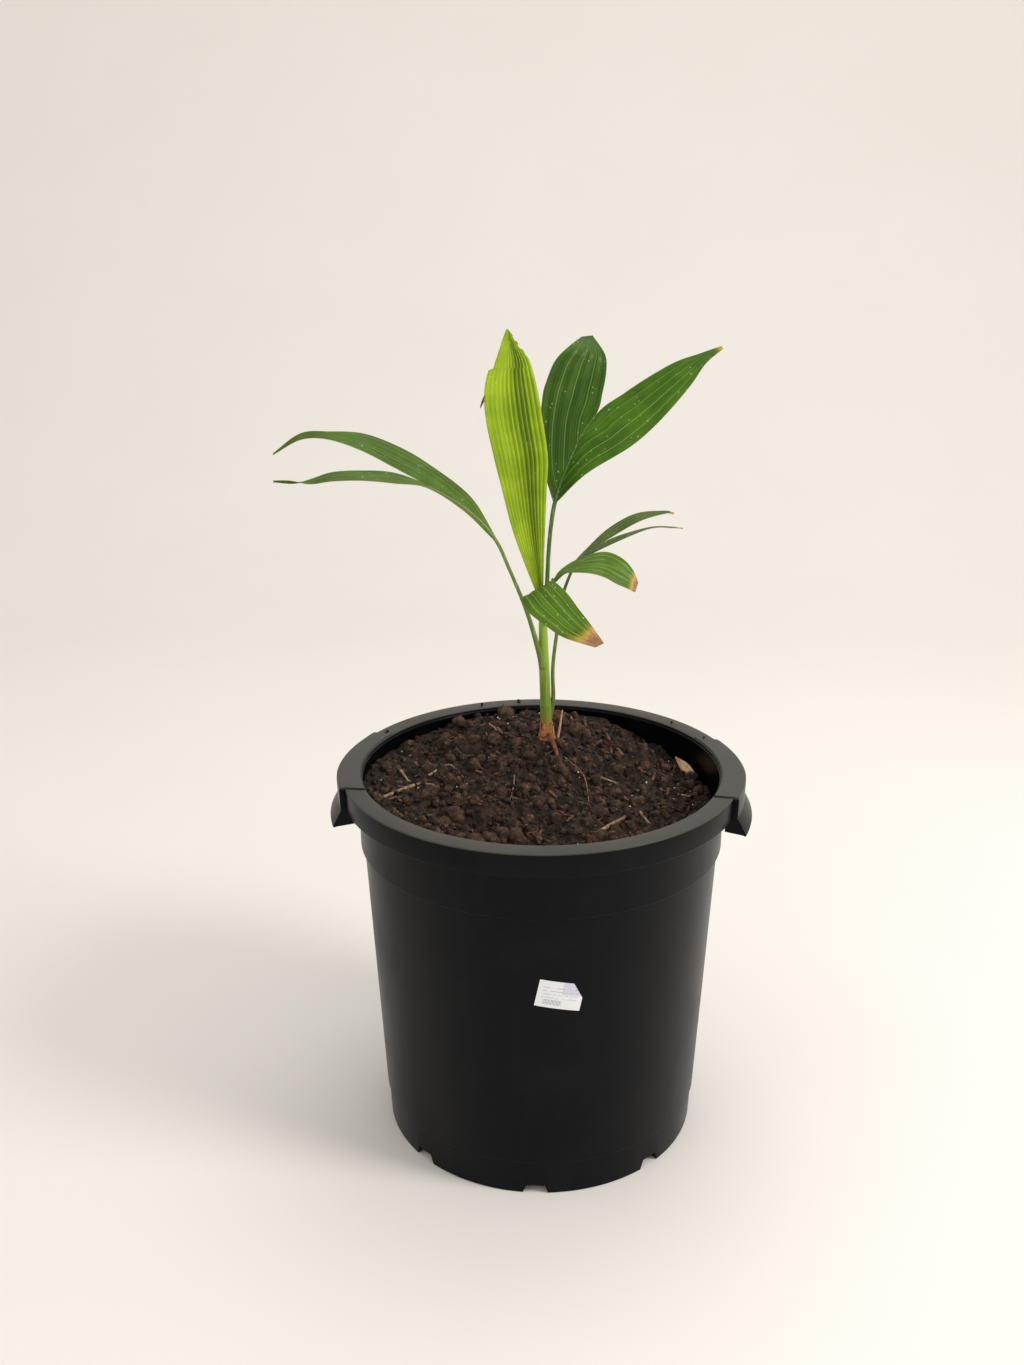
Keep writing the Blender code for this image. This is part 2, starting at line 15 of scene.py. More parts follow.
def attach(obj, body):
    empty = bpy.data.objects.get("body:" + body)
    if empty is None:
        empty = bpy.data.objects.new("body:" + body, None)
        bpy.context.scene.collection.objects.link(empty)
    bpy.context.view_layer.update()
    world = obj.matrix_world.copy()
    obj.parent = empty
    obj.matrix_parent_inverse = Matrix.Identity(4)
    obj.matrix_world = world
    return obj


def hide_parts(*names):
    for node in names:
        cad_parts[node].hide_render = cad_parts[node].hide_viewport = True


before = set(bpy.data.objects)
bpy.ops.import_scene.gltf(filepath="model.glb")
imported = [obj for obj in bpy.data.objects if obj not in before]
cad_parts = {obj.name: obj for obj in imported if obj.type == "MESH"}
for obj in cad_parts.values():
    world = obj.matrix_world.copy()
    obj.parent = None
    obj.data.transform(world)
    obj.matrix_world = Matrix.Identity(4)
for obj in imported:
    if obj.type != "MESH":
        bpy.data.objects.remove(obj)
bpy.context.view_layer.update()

MM = 0.001
BODY = "root"

# Pot
POT_HEIGHT = 325.0
RIM_OUTER_R = 166.0
RIM_INNER_R = 150.0
SKIRT_Z = 305.5
SKIRT_THICK = 2.6
BEAD_R = 148.7
# How far below the rim's top the inner bead starts, is full, thins and ends
BEAD_DEPTHS = (6.6, 5.6, 2.6, 2.2)
BAND_R = 152.5
BAND_BOTTOM_Z = 263.0
BODY_TOP_R = 149.5
BODY_BOTTOM_R = 137.5
STEP_Z = 31.0
STEP_IN = 1.2
FOOT_R = 134.7
WALL = 2.4
FLOOR_Z = 3.0
HUB_R = 8.0
PAD_R = 58.0
FOOT_RING_R = 112.0
RECESS = 1.6
# The rim stands proud at its two sides, a little on top and more outwards towards the front
ZONE_PROUD = 1.2
ZONE_OUT = 4.4
GROOVE_DEEP = 1.5
GROOVE_HALF = math.radians(0.27)
GROOVE_WALL = math.radians(0.05)
# Ends of the two proud stretches, as degrees at the rim's outer and inner edge
ZONE_ENDS = ((-22.6, -24.0), (21.2, 26.5), (153.3, 151.3), (196.8, 199.9))
# Columns across the right, back, left and front stretch
ZONE_COLUMNS = (50, 90, 50, 110)
DRAIN_COUNT = 8
DRAIN_TURN = math.radians(-91.4)
DRAIN_SECTION = ((-11.2, -2.0), (11.2, -2.0), (7.5, 9.0), (-7.5, 9.0))
DRAIN_INNER_R = 123.0
GRIP_TURN = math.radians(-2.2)
GRIP_HALF_ANGLE = math.radians(19.0)
GRIP_TOP_R = 169.0
GRIP_LOW_R = 177.0
GRIP_LOW_Z = 291.5
GRIP_WEB_R = 159.0
GRIP_THICK = 2.5
GRIP_EDGE = 0.35
GRIP_TOP_Z = SKIRT_Z + 1.5
WEB_TOP_Z = SKIRT_Z + 15.5

# Potting mix
SEAT = (5.0, 52.0)
SEAT_Z = 331.0
# The mix lies no higher than the stem's seat within this radius, and eases up round it
SEAT_R = 9.0
SEAT_EASE = 8.0
# Radius round the middle within which the crumbs of the mix flatten out
CALM_R = 20.0
SOIL_EDGE_R = 149.6
SOIL_EDGE_Z = 316.6
SOIL_EDGE_WIDE = 12.0
SOIL_EDGE_RISE = 3.0
BED_Z = 300.0
BED_TILT = 0.075
# Place, height and reach across, to the front and to the back
BACK_RISE = ((15.0, 150.0), 21.0, 85.0, 60.0, 60.0)
MOUND = (SEAT, 25.6, 38.0, 60.0, 34.0)
# Radius and height of the side and the underside of the mix, just inside the pot's wall
SOIL_SIDE = (
    (SOIL_EDGE_R, 264.5), (146.5, 261.5), (134.5, 31.5), (133.0, 30.5), (130.0, 3.5), (HUB_R, 3.5),
)
# Place, radius and height of each larger clod
CLODS = (
    (82, 76, 21, 14),
    (-46, -56, 26, 12),
    (40, 36, 12, 7),
    (30, -70, 24, 7),
    (66, -46, 20, 5),
    (-104, -34, 18, 6),
    (-66, 66, 24, 5),
    (-108, 20, 16, 4),
    (104, -30, 18, 5),
)
SOIL_ROWS = 120
SOIL_COLUMNS = 420
CRUMB_COUNT = 6000
NUGGET_COUNT = 190
CHIP_COUNT = 150
PALE_GRAIN_COUNT = 110
# Each twig's route over the mix, and its radius
TWIGS = (
    (((-129, -37), (-117, -18), (-104, -1), (-96, -4), (-88, -5)), 1.5),
    (((-96, 14), (-80, 38), (-66, 10)), 1.1),
    (((-120, 18), (-112, 2)), 1.2),
    (((48, 12), (66, 16)), 1.0),
    (((118, 18), (127, 8)), 1.1),
    (((44, -80), (54, -66), (66, -55)), 1.8),
    (((82, -29), (86, -42), (88, -56)), 1.6),
)
# Each thin root's route, with its height over the mix, its radii and its rows
THIN_ROOTS = (
    (((-22, 2, 1.2), (-24, -30, 1.2), (-34, -78, 1.0)), (0.7, 0.6, 0.35), 24),
    (((20, 30, 1.0), (36, 4, 1.4), (40, -30, 0.8)), (0.6, 0.5, 0.3), 20),
)
# Each straw's route, radii, sides and rows
STRAWS = (
    (((14, 44, 327), (16.5, 46, 344), (18.5, 47, 358)), (1.0, 0.9, 0.6), 8, 12),
    (((-38, 92, 313), (-41, 94, 322), (-47, 95, 327)), (0.7, 0.6, 0.4), 6, 10),
)
CURLED_LEAF = ((120, 72, 7), (127, 64, 4.5), (132, 55, 3), (137, 44, 1.5))
CURLED_LEAF_RADII = (0.6, 4.2, 3.2, 0.5)
RIM_CRUMB_R = 157.0
RIM_CRUMB_TURNS = (110.7, 97.7, 41.0, 24.0, 152.0, 151.0)

# Palm
STEM_ROUTE = (
    (5, 52, 330.5), (5, 52, 339), (4, 52, 361), (3, 51.5, 384),
    (2, 51, 407), (1.5, 50, 429), (1, 50, 449),
)
STEM_RADII = (7.4, 5.6, 4.8, 4.6, 4.4, 3.9, 3.4)
# Each dead base at the stem's foot: low and high end, radius at both, first turn and sweep in radians
TORN_BASES = (
    (330.0, 352.0, 7.9, 5.4, -2.6, 2.2),
    (330.0, 346.0, 8.2, 5.8, -0.5, 2.4),
    (330.5, 358.0, 7.6, 5.2, 1.8, 2.0),
)
TORN_BASE_THICK = 0.5
FOOT_ROOT = ((7, 49, 336), (12, 29, 330.5), (16, 10, 324.5))
FOOT_ROOT_RADII = (2.2, 1.7, 0.8)
DRY_POINT = ((-45.5, 44, 627), (-47.5, 43.6, 622), (-49.5, 43.2, 617))
DRY_POINT_RADII = (0.7, 1.0, 0.3)
# Each stalk's route, from the stem to the end of its rib, and its radii on the way
STALKS = {
    "left_leaf": (
        ((1, 48, 396), (-2, 47, 411), (-12, 43, 447), (-27, 40, 486), (-39, 38, 512),
         (-62, 34, 537), (-92, 30, 557)),
        (2.9, 2.4, 1.75, 1.5, 1.5, 1.3, 0.7),
    ),
    "spear_leaf": (
        ((1, 50, 440), (0, 49, 456), (-1, 48, 470)),
        (3.2, 3.0, 2.4),
    ),
    "tall_leaf": (
        ((3, 54.5, 440), (4.5, 57.5, 463), (6, 62, 495), (8, 66, 517), (11, 69, 535),
         (17, 73, 554), (32, 80, 588), (45, 84, 606)),
        (2.0, 1.9, 1.8, 1.8, 1.8, 1.4, 0.9, 0.5),
    ),
    "drooping_leaf": (
        ((3.5, 46, 436), (5, 44, 454), (7.5, 42, 464), (9.5, 41.5, 477)),
        (2.2, 2.0, 1.8, 1.2),
    ),
    "low_leaf": (
        ((8, 53, 348), (10.5, 54.5, 367), (10, 55, 387), (11, 57, 405), (16, 62, 442),
         (20, 65, 462), (30, 71.5, 484), (39, 75, 490.5)),
        (2.4, 1.9, 1.7, 1.6, 1.5, 1.4, 1.1, 0.6),
    ),
}
# Stations of each lobe: its inner side, a place on the stalk or a point, and its outer margin
LOBES = {
    "left_leaf_far_lobe": (
        (0.667, (-38, 39.5, 513)),
        (0.833, (-59, 51, 544)),
        (1.0, (-94, 58, 570)),
        ((-119, 34, 571), (-119, 60, 584)),
        ((-146, 39, 584), (-146, 60, 594)),
        ((-173, 44, 592), (-173, 58, 596)),
        ((-196, 48, 591), (-197, 55, 595)),
        ((-220, 52, 578), (-220, 53.5, 579)),
    ),
    "left_leaf_near_lobe": (
        (0.667, (-39.5, 36.5, 511)),
        (0.833, (-62, 24, 537)),
        (1.0, (-90, 10, 559)),
        ((-118, 26, 568), (-116, 4, 564)),
        ((-143, 20, 571), (-141, 0, 567)),
        ((-166, 13, 571), (-164, -3, 567)),
        ((-182, 6, 567), (-181, -4, 565)),
        ((-194, -2, 565), (-197, -6, 568)),
        ((-209, -10, 567.5), (-209, -10, 569)),
    ),
    "spear_leaf": (
        ((-4, 46.5, 462), (1.5, 46.5, 462)),
        ((-13, 44, 486), (2, 45, 490)),
        ((-24, 42, 518), (3, 44, 522)),
        ((-32, 41, 550), (4, 43, 551)),
        ((-39, 41, 579), (5, 43, 577)),
        ((-45, 42, 608), (1, 45, 605)),
        ((-46, 44, 631), (-4, 48, 632)),
        ((-41, 47, 652), (-10, 51, 653)),
        ((-34, 50, 665), (-18, 53, 665)),
        ((-28.5, 53, 678), (-26.5, 53, 677)),
    ),
    "tall_leaf_left_lobe": (
        (0.571, (9, 68, 537)),
        (0.786, (-2, 68, 578)),
        (1.0, (0, 76, 619)),
        ((50, 88, 623), (4, 81, 635)),
        ((53, 92, 640), (11, 87, 650)),
        ((52, 97, 653), (22, 95, 660)),
        ((42, 113, 667), (33, 113, 666)),
    ),
    "tall_leaf_right_lobe": (
        (0.571, (12, 68, 535)),
        (0.786, (36, 62, 560)),
        (1.0, (71, 66, 581)),
        ((68, 87, 623), (90, 70, 596)),
        ((90, 90, 637), (108, 76, 614)),
        ((111, 93, 648), (123, 83, 631)),
        ((130, 96, 654), (135, 90, 647)),
        ((148, 98, 660), (149, 97, 657.5)),
    ),
    "drooping_leaf_right_lobe": (
        (0.92, (12.5, 42, 474)),
        ((15, 46, 482), (20, 38, 482)),
        ((26, 50, 489), (29, 34, 484)),
        ((40, 54, 494), (41, 31, 484)),
        ((54, 56, 496), (52, 30, 481)),
        ((67, 55, 491), (62, 32, 475)),
        ((76, 53, 482), (71, 36, 470)),
        ((81, 50, 471), (78, 42, 465)),
    ),
    "drooping_leaf_front_lobe": (
        (0.75, (4, 41, 462)),
        (0.92, (-6, 34, 463)),
        ((9, 31, 478), (-17, 25, 464)),
        ((14, 25, 476), (-15, 17, 462)),
        ((22, 20, 469), (-10, 11, 456)),
        ((31, 14, 458), (3, 6, 447)),
        ((39, 8, 449), (18, 2, 438)),
        ((51, -1, 434), (44, -3, 431)),
    ),
    "low_leaf_far_lobe": (
        (0.857, (29.5, 73, 485)),
        (1.0, (37, 84, 490)),
        ((59, 82, 502), (57, 97, 506)),
        ((84, 88, 515), (81, 103, 518)),
        ((106, 95, 520), (105, 101, 521)),
        ((113, 97, 519), (113.5, 98.5, 520)),
    ),
    "low_leaf_near_lobe": (
        (0.857, (31, 70, 484)),
        (1.0, (40, 68, 490)),
        ((59, 74, 503), (59, 63, 501)),
        ((83, 74, 511), (83, 62, 512)),
        ((96, 72, 514), (96, 64, 515)),
        ((109, 71, 514), (109, 67, 514)),
        ((119, 70, 513), (119, 69, 513)),
    ),
}
BLADE_ROWS = 150
BLADE_COLUMNS = 48
BLADE_THICK = 0.5
# Pleats across a lobe, and the depth of one as a share of the lobe's width
PLEATS = {
    "spear_leaf": (12, 0.03),
    "tall_leaf_left_lobe": (5, 0.012),
    "tall_leaf_right_lobe": (6, 0.012),
}
PLAIN_PLEATS = (4, 0.012)

# Label
LABEL_TURN = math.radians(-84.0)
LABEL_SLANT = math.radians(-11.0)
LABEL_Z = 194.5

# Camera, fitted to the pot's outlines
CAMERA_PLACE = (0.0, -1082.3, 778.9)
CAMERA_RIGHT = (0.9998, 0.0208, -0.0037)
CAMERA_UP = (-0.0034, 0.3307, 0.9437)
CAMERA_LENS = 36.78
CAMERA_SENSOR = 36.0


def srgb(red, green, blue):
    """A colour given as screen values from 0 to 255."""
    return (*(((part / 255 + 0.055) / 1.055) ** 2.4 for part in (red, green, blue)), 1.0)


# Shader sums


class Value:
    """A node's output that takes part in sums written in Python."""

    def __init__(self, shade, socket):
        self.shade = shade
        self.socket = socket

    def math(self, operation, *others):
        """Adds a Math node that takes this value and the others."""
        sockets = dict(enumerate((self, *others)))
        return self.shade.node("Math", {"operation": operation}, sockets)

    def __add__(self, other):
        return self.math("ADD", other)

    def __sub__(self, other):
        return self.math("SUBTRACT", other)

    def __rsub__(self, other):
        return self.shade.node("Math", {"operation": "SUBTRACT"}, {0: other, 1: self})

    def __mul__(self, other):
        return self.math("MULTIPLY", other)

    __radd__ = __add__
    __rmul__ = __mul__

    def between(self, low, high):
        """Eases from 0 at low to 1 at high."""
        settings = {"interpolation_type": "SMOOTHSTEP"}
        return self.shade.node("MapRange", settings, {"Value": self, "From Min": low, "From Max": high})


class Shade:
    """The nodes of one finish. Most methods add a node and give back its output."""

    def __init__(self, name, fixed=None):
        self.material = bpy.data.materials.new(name)
        self.material.use_nodes = True
        self.tree = self.material.node_tree
        self.shader = self.tree.nodes["Principled BSDF"]
        for socket, number in (fixed or {}).items():
            self.shader.inputs[socket].default_value = number

    def node(self, kind, settings=None, sockets=None, output=0):
        """Any node: its settings are set first, then the values or links of its sockets."""
        made = self.tree.nodes.new(f"ShaderNode{kind}")
        for key, setting in (settings or {}).items():
            setattr(made, key, setting)
        for key, value in (sockets or {}).items():
            if isinstance(value, Value):
                self.tree.links.new(value.socket, made.inputs[key])
            else:
                made.inputs[key].default_value = value
        return Value(self, made.outputs[output])

    def place(self):
        """Where the shaded point is on the object, in metres."""
        return self.node("TexCoord", output="Object")

    def drawn(self, layer):
        """The pair of numbers that a blade's mesh carries in this layer."""
        return self.node("UVMap", {"uv_map": layer})

    def stretched(self, vector, scale):
        """The same place with each axis scaled by its own factor."""
        return self.node("VectorMath", {"operation": "MULTIPLY"}, {0: vector, 1: scale})

    def reach(self, vector, axis):
        """How far a vector goes along an axis, in millimetres."""
        found = self.node("VectorMath", {"operation": "DOT_PRODUCT"}, {0: vector, 1: axis}, "Value")
        return found * (1 / MM)

    def part(self, vector, axis):
        return self.node("SeparateXYZ", None, {0: vector}, output="XYZ".index(axis))

    def noise(self, vector, scale, detail=3.0, rough=0.55):
        sockets = {"Vector": vector, "Scale": scale, "Detail": detail, "Roughness": rough}
        return self.node("TexNoise", None, sockets)

    def spots(self, vector, scale):
        """Distance to the nearest of many scattered points."""
        return self.node("TexVoronoi", None, {"Vector": vector, "Scale": scale})

    def mix(self, share, first, second):
        """From the first colour at share 0 to the second at share 1."""
        return self.node("Mix", {"data_type": "RGBA"}, {0: share, 6: first, 7: second}, output=2)

    def feed(self, socket, value):
        """Links a value to the shader."""
        self.tree.links.new(value.socket, self.shader.inputs[socket])

    def finish(self, colour, roughness, height=None, relief=0.0003, strength=0.6):
        """Joins colour, roughness and relief, in metres, to the shader."""
        self.feed("Base Color", colour)
        self.feed("Roughness", roughness)
        if height is not None:
            sockets = {"Strength": strength, "Distance": relief, "Height": height}
            self.feed("Normal", self.node("Bump", None, sockets))
        return self.material


# Finishes


def pot_plastic():
    """Satin black plastic with dust, drip marks and scuffs; a painted reflection greys the top of the
    rim.
    """
    gloss = {"Specular IOR Level": 0.07, "Coat Weight": 0.07, "Coat Roughness": 0.14}
    shade = Shade("pot_plastic", gloss)
    place = shade.place()
    grain = shade.noise(place, 900.0, 2.0)
    clouds = shade.noise(place, 14.0, 4.0)
    drips = shade.noise(shade.stretched(place, (60.0, 60.0, 3.0)), 1.0, 3.0)
    scuffs = shade.noise(shade.stretched(place, (30.0, 30.0, 260.0)), 1.0, 3.0).between(0.66, 0.74)
    dust = clouds.between(0.45, 0.75) * 0.5 + drips.between(0.55, 0.8) * 0.35 + scuffs * 0.5
    colour = shade.mix(dust * 0.4, srgb(4, 6, 10), srgb(30, 31, 33))
    # Painted reflection: the pale room's reflection greys the top of the rim, patchy with the same clouds
    # as the dust
    painted_rim_reflection = shade.part(place, "Z").between((POT_HEIGHT - 1.5) * MM, (POT_HEIGHT - 0.4) * MM)
    colour = shade.mix(painted_rim_reflection * (0.6 + clouds * 0.5), colour, srgb(76, 75, 72))
    rough = 0.3 + dust * 0.16 + grain * 0.08
    return shade.finish(colour, rough, grain * 0.35 + clouds * 0.8, 0.00025, 0.35)


def potting_mix(name, dark, brown, pale):
    """Moist crumbly bark and peat."""
    shade = Shade(name, {"Specular IOR Level": 0.3})
    place = shade.place()
    lumps = shade.noise(place, 130.0, 5.0, 0.65)
    grain = shade.noise(place, 620.0, 4.0, 0.7)
    fibres = shade.noise(shade.stretched(place, (900.0, 160.0, 500.0)), 1.0, 3.0)
    ground = shade.mix(lumps.between(0.38, 0.66), dark, brown)
    colour = shade.mix(fibres.between(0.6, 0.78) * 0.7, ground, pale)
    return shade.finish(colour, 0.72 + grain * 0.25, grain + lumps, 0.0012, 0.9)


def plain_grain(name, first, second, scale, rough=0.6):
    """Two tones of one dry stuff, such as a twig, a bark chip or a pale grain."""
    shade = Shade(name)
    place = shade.place()
    streaks = shade.noise(place, scale, 4.0)
    colour = shade.mix(streaks.between(0.35, 0.65), first, second)
    return shade.finish(colour, rough + streaks * 0.2, streaks, 0.0004)


def dried(shade, colour, place, streaks, start, dark, pale):
    """Adds a dry streaked tip from a place on, behind a yellowed border."""
    colour = shade.mix(place.between(start - 0.05, start), colour, srgb(186, 160, 62))
    dry = shade.mix(streaks.between(0.42, 0.6), dark, pale)
    return shade.mix(place.between(start, start + 0.025), colour, dry)


def leaf_finish(name, deep, bright, vein, veins, tip=None, sheen=0.08, band=None):
    """A leaf with veins that run from the rib to the tip.

    tip gives where the dry tip starts and its two colours. band gives the middle, half width and
    colour of a darker stretch across the veins.
    """
    shade = Shade(name, {"Coat Weight": sheen, "Coat Roughness": 0.3, "Specular IOR Level": 0.14})
    veining = shade.drawn("veins")
    along = shade.part(veining, "X")
    across = shade.part(veining, "Y")
    margin = shade.part(shade.drawn("edges"), "X")
    place = shade.place()
    streaks = shade.noise(shade.stretched(veining, (3.0, 110.0, 0.0)), 1.0, 3.0)
    clouds = shade.noise(place, 45.0, 3.0)
    vein_line = (across * veins).math("PINGPONG", 0.5).between(0.07, 0.0)
    fine_line = (across * (veins * 5.0)).math("PINGPONG", 0.5).between(0.22, 0.0)
    tone = streaks.between(0.3, 0.7) * 0.6 + clouds.between(0.35, 0.65) * 0.4
    colour = shade.mix(tone, deep, bright)
    if band:
        middle, half, dark = band
        nearness = (across - middle).math("ABSOLUTE").between(half, half * 0.35)
        colour = shade.mix(nearness * (0.45 + fine_line * 0.55), colour, dark)
    colour = shade.mix(vein_line * 0.55 + fine_line * 0.14, colour, vein)
    specks = shade.spots(place, 190.0).between(0.16, 0.08) * clouds.between(0.4, 0.55)
    colour = shade.mix(specks * 0.45, colour, srgb(205, 215, 190))
    dry_edge = margin.between(0.982, 1.0) * 0.55
    colour = shade.mix(dry_edge, colour, srgb(120, 98, 52))
    if tip:
        ragged = along + (streaks - 0.5) * 0.22 + (clouds - 0.5) * 0.12
        colour = dried(shade, colour, ragged, streaks, *tip)
    rough = 0.3 + streaks * 0.14 + clouds * 0.08 - specks * 0.15
    height = vein_line * 0.8 + fine_line * 0.25 + streaks * 0.35
    return shade.finish(colour, rough, height, 0.00035, 0.6)


def stem_finish(name, low_z, high_z, low, middle, high):
    """Stem tissue, streaked lengthwise, in three tones from its foot up. Heights are in metres."""
    shade = Shade(name, {"Coat Weight": 0.15, "Coat Roughness": 0.3})
    place = shade.place()
    streaks = shade.noise(shade.stretched(place, (900.0, 900.0, 22.0)), 1.0, 3.0)
    patches = shade.noise(place, 90.0, 3.0)
    height = shade.part(place, "Z") + (streaks - 0.5) * 0.03
    colour = shade.mix(height.between(low_z, low_z + 0.025), low, middle)
    colour = shade.mix(height.between(low_z + 0.02, high_z), colour, high)
    colour = shade.mix(streaks.between(0.5, 0.75) * 0.4, colour, srgb(206, 214, 120))
    colour = shade.mix(patches.between(0.6, 0.75) * 0.3, colour, srgb(84, 86, 40))
    return shade.finish(colour, 0.34 + streaks * 0.2, streaks, 0.0004)


def label_axes():
    """The label's middle on the pot, in metres, and its directions across and up."""
    level = Vector((-math.sin(LABEL_TURN), math.cos(LABEL_TURN), 0))
    plumb = Vector((0, 0, 1))
    across = level * math.cos(LABEL_SLANT) + plumb * math.sin(LABEL_SLANT)
    upward = plumb * math.cos(LABEL_SLANT) - level * math.sin(LABEL_SLANT)
    middle = Vector((BODY_TOP_R * math.cos(LABEL_TURN), BODY_TOP_R * math.sin(LABEL_TURN), LABEL_Z)) * MM
    return middle, across, upward


def label_print():
    """Coated white paper with a lilac corner patch, faint broken lines and a row of short dark bars."""
    shade = Shade("label_paper", {"Coat Weight": 0.2})
    place = shade.place()
    middle, across, upward = label_axes()
    from_middle = shade.node("VectorMath", {"operation": "SUBTRACT"}, {0: place, 1: middle})
    side = shade.reach(from_middle, across)
    tall = shade.reach(from_middle, upward)
    patch = tall.between(1.0, 1.4) * side.between(1.0, 1.4)
    lines = (tall * 0.33).math("PINGPONG", 0.5).between(0.17, 0.11)
    breaks = shade.noise(shade.stretched(from_middle, (420.0, 420.0, 330.0)), 1.0, 1.0).between(0.42, 0.5)
    inside = side.math("ABSOLUTE").between(14.5, 14.0) * tall.math("ABSOLUTE").between(9.0, 8.5)
    faint = lines * breaks * inside * tall.between(-3.6, -3.2)
    bars = (side * 0.9).math("PINGPONG", 0.5).between(0.2, 0.15)
    bar_row = tall.between(-9.5, -9.2) * tall.between(-4.5, -4.8)
    bars = bars * bar_row * (side + 5.0).math("ABSOLUTE").between(7.5, 7.0)
    fibres = shade.noise(place, 1500.0, 2.0)
    colour = shade.mix(patch * 0.7, srgb(226, 228, 232), srgb(196, 190, 214))
    colour = shade.mix(faint * 0.42, colour, srgb(120, 122, 130))
    colour = shade.mix(bars * 0.85, colour, srgb(48, 48, 54))
    return shade.finish(colour, 0.35 + fibres * 0.15, fibres, 0.00005)


# Shapes


def smooth(points, places):
    """Points on a smooth curve through the given points, at places from 0 to 1."""
    points = np.asarray(points, float)
    spans = len(points) - 1
    first = 2 * points[:1] - points[1:2]
    last = 2 * points[-1:] - points[-2:-1]
    padded = np.vstack([first, points, last])
    at = np.clip(np.asarray(places, float), 0, 1) * spans
    span = np.minimum(at.astype(int), spans - 1)
    t = (at - span)[:, None]
    before, start, end, after = (padded[span + k] for k in range(4))
    return 0.5 * (
        2 * start
        + (end - before) * t
        + (2 * before - 5 * start + 4 * end - after) * t**2
        + (3 * start - before - 3 * end + after) * t**3
    )


def unit(vectors):
    """Each vector at length 1."""
    return vectors / np.maximum(np.linalg.norm(vectors, axis=-1, keepdims=True), 1e-9)


def grid_faces(rows, columns, closed):
    """Quads of a grid of points. A closed grid joins its last column to its first."""
    across = np.arange(columns if closed else columns - 1)
    low = np.arange(rows - 1)[:, None] * columns + across
    right = np.arange(rows - 1)[:, None] * columns + (across + 1) % columns
    return np.stack([low, right, right + columns, low + columns], axis=-1).reshape(-1, 4).tolist()


def piece(name, points, faces, finish, stands_for=(), sharp=None, layers=None):
    """A mesh drawn in millimetres that belongs to the plant and its pot."""
    mesh = bpy.data.meshes.new(name)
    mesh.from_pydata((np.asarray(points, float).reshape(-1, 3) * MM).tolist(), [], faces)
    for layer, values in (layers or {}).items():
        corners = np.empty(len(mesh.loops), np.int32)
        mesh.loops.foreach_get("vertex_index", corners)
        uv = mesh.uv_layers.new(name=layer)
        uv.data.foreach_set("uv", np.asarray(values, float).reshape(-1, 2)[corners].ravel())
    mesh.shade_smooth()
    if sharp:
        mesh.set_sharp_from_angle(angle=math.radians(sharp))
    mesh.materials.append(finish)
    made = bpy.data.objects.new(name, mesh)
    bpy.context.scene.collection.objects.link(made)
    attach(made, BODY)
    if stands_for:
        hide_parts(*stands_for)
    return made


def outward(obj):
    """Turns the faces of a closed mesh to point out."""
    bm = bmesh.new()
    bm.from_mesh(obj.data)
    bmesh.ops.recalc_face_normals(bm, faces=bm.faces)
    bm.to_mesh(obj.data)
    bm.free()
    return obj


def around(radius, height, turn):
    """Points at these radii and heights, each turned about the pot's axis."""
    radius, height, turn = np.broadcast_arrays(radius, height, turn)
    return np.stack([radius * np.cos(turn), radius * np.sin(turn), height], axis=-1)


def capped(rings):
    """Points and faces of a closed skin through rings of points."""
    rings = np.asarray(rings, float)
    count, sides = rings.shape[:2]
    faces = grid_faces(count, sides, closed=True)
    faces.append(list(range(sides))[::-1])
    faces.append([(count - 1) * sides + k for k in range(sides)])
    return rings.reshape(-1, 3), faces


def rod(route, radii, sides, spans, relief=None):
    """A tapering rod along a smooth route. relief gives a factor on the radius for turn and place."""
    places = np.linspace(0, 1, spans + 1)
    centres = smooth(route, places)
    thick = smooth([(radius, 0, 0) for radius in radii], places)[:, 0]
    along = unit(np.gradient(centres, axis=0))
    across = unit(np.cross(along, np.tile((0.0, 1.0, 0.0), (len(along), 1))))
    other = np.cross(along, across)
    turns = 2 * np.pi * np.arange(sides) / sides
    radius = np.repeat(thick[:, None], sides, axis=1)
    if relief:
        radius = radius * relief(turns[None, :], places[:, None])
    ring = across[:, None] * np.cos(turns)[None, :, None] + other[:, None] * np.sin(turns)[None, :, None]
    return capped(centres[:, None] + ring * radius[:, :, None])


def joined(parts):
    """Many small closed meshes as one list of points and faces."""
    points, faces, count = [], [], 0
    for part_points, part_faces in parts:
        points.append(np.asarray(part_points, float).reshape(-1, 3))
        faces.extend([[index + count for index in face] for face in part_faces])
        count += len(points[-1])
    return np.vstack(points), faces


# Pot


def softened(corners, steps=4):
    """A section through corners of radius, height and size, each rounded by its size."""
    points = []
    for k, (radius, z, size) in enumerate(corners):
        here = np.array((radius, z), float)
        if not size or k in (0, len(corners) - 1):
            points.append(here)
            continue
        back = unit(np.array(corners[k - 1][:2]) - here) * size
        onward = unit(np.array(corners[k + 1][:2]) - here) * size
        for t in np.linspace(0, 1, steps + 1):
            points.append(here + back * (1 - t) ** 2 + onward * t**2)
    return np.array(points)


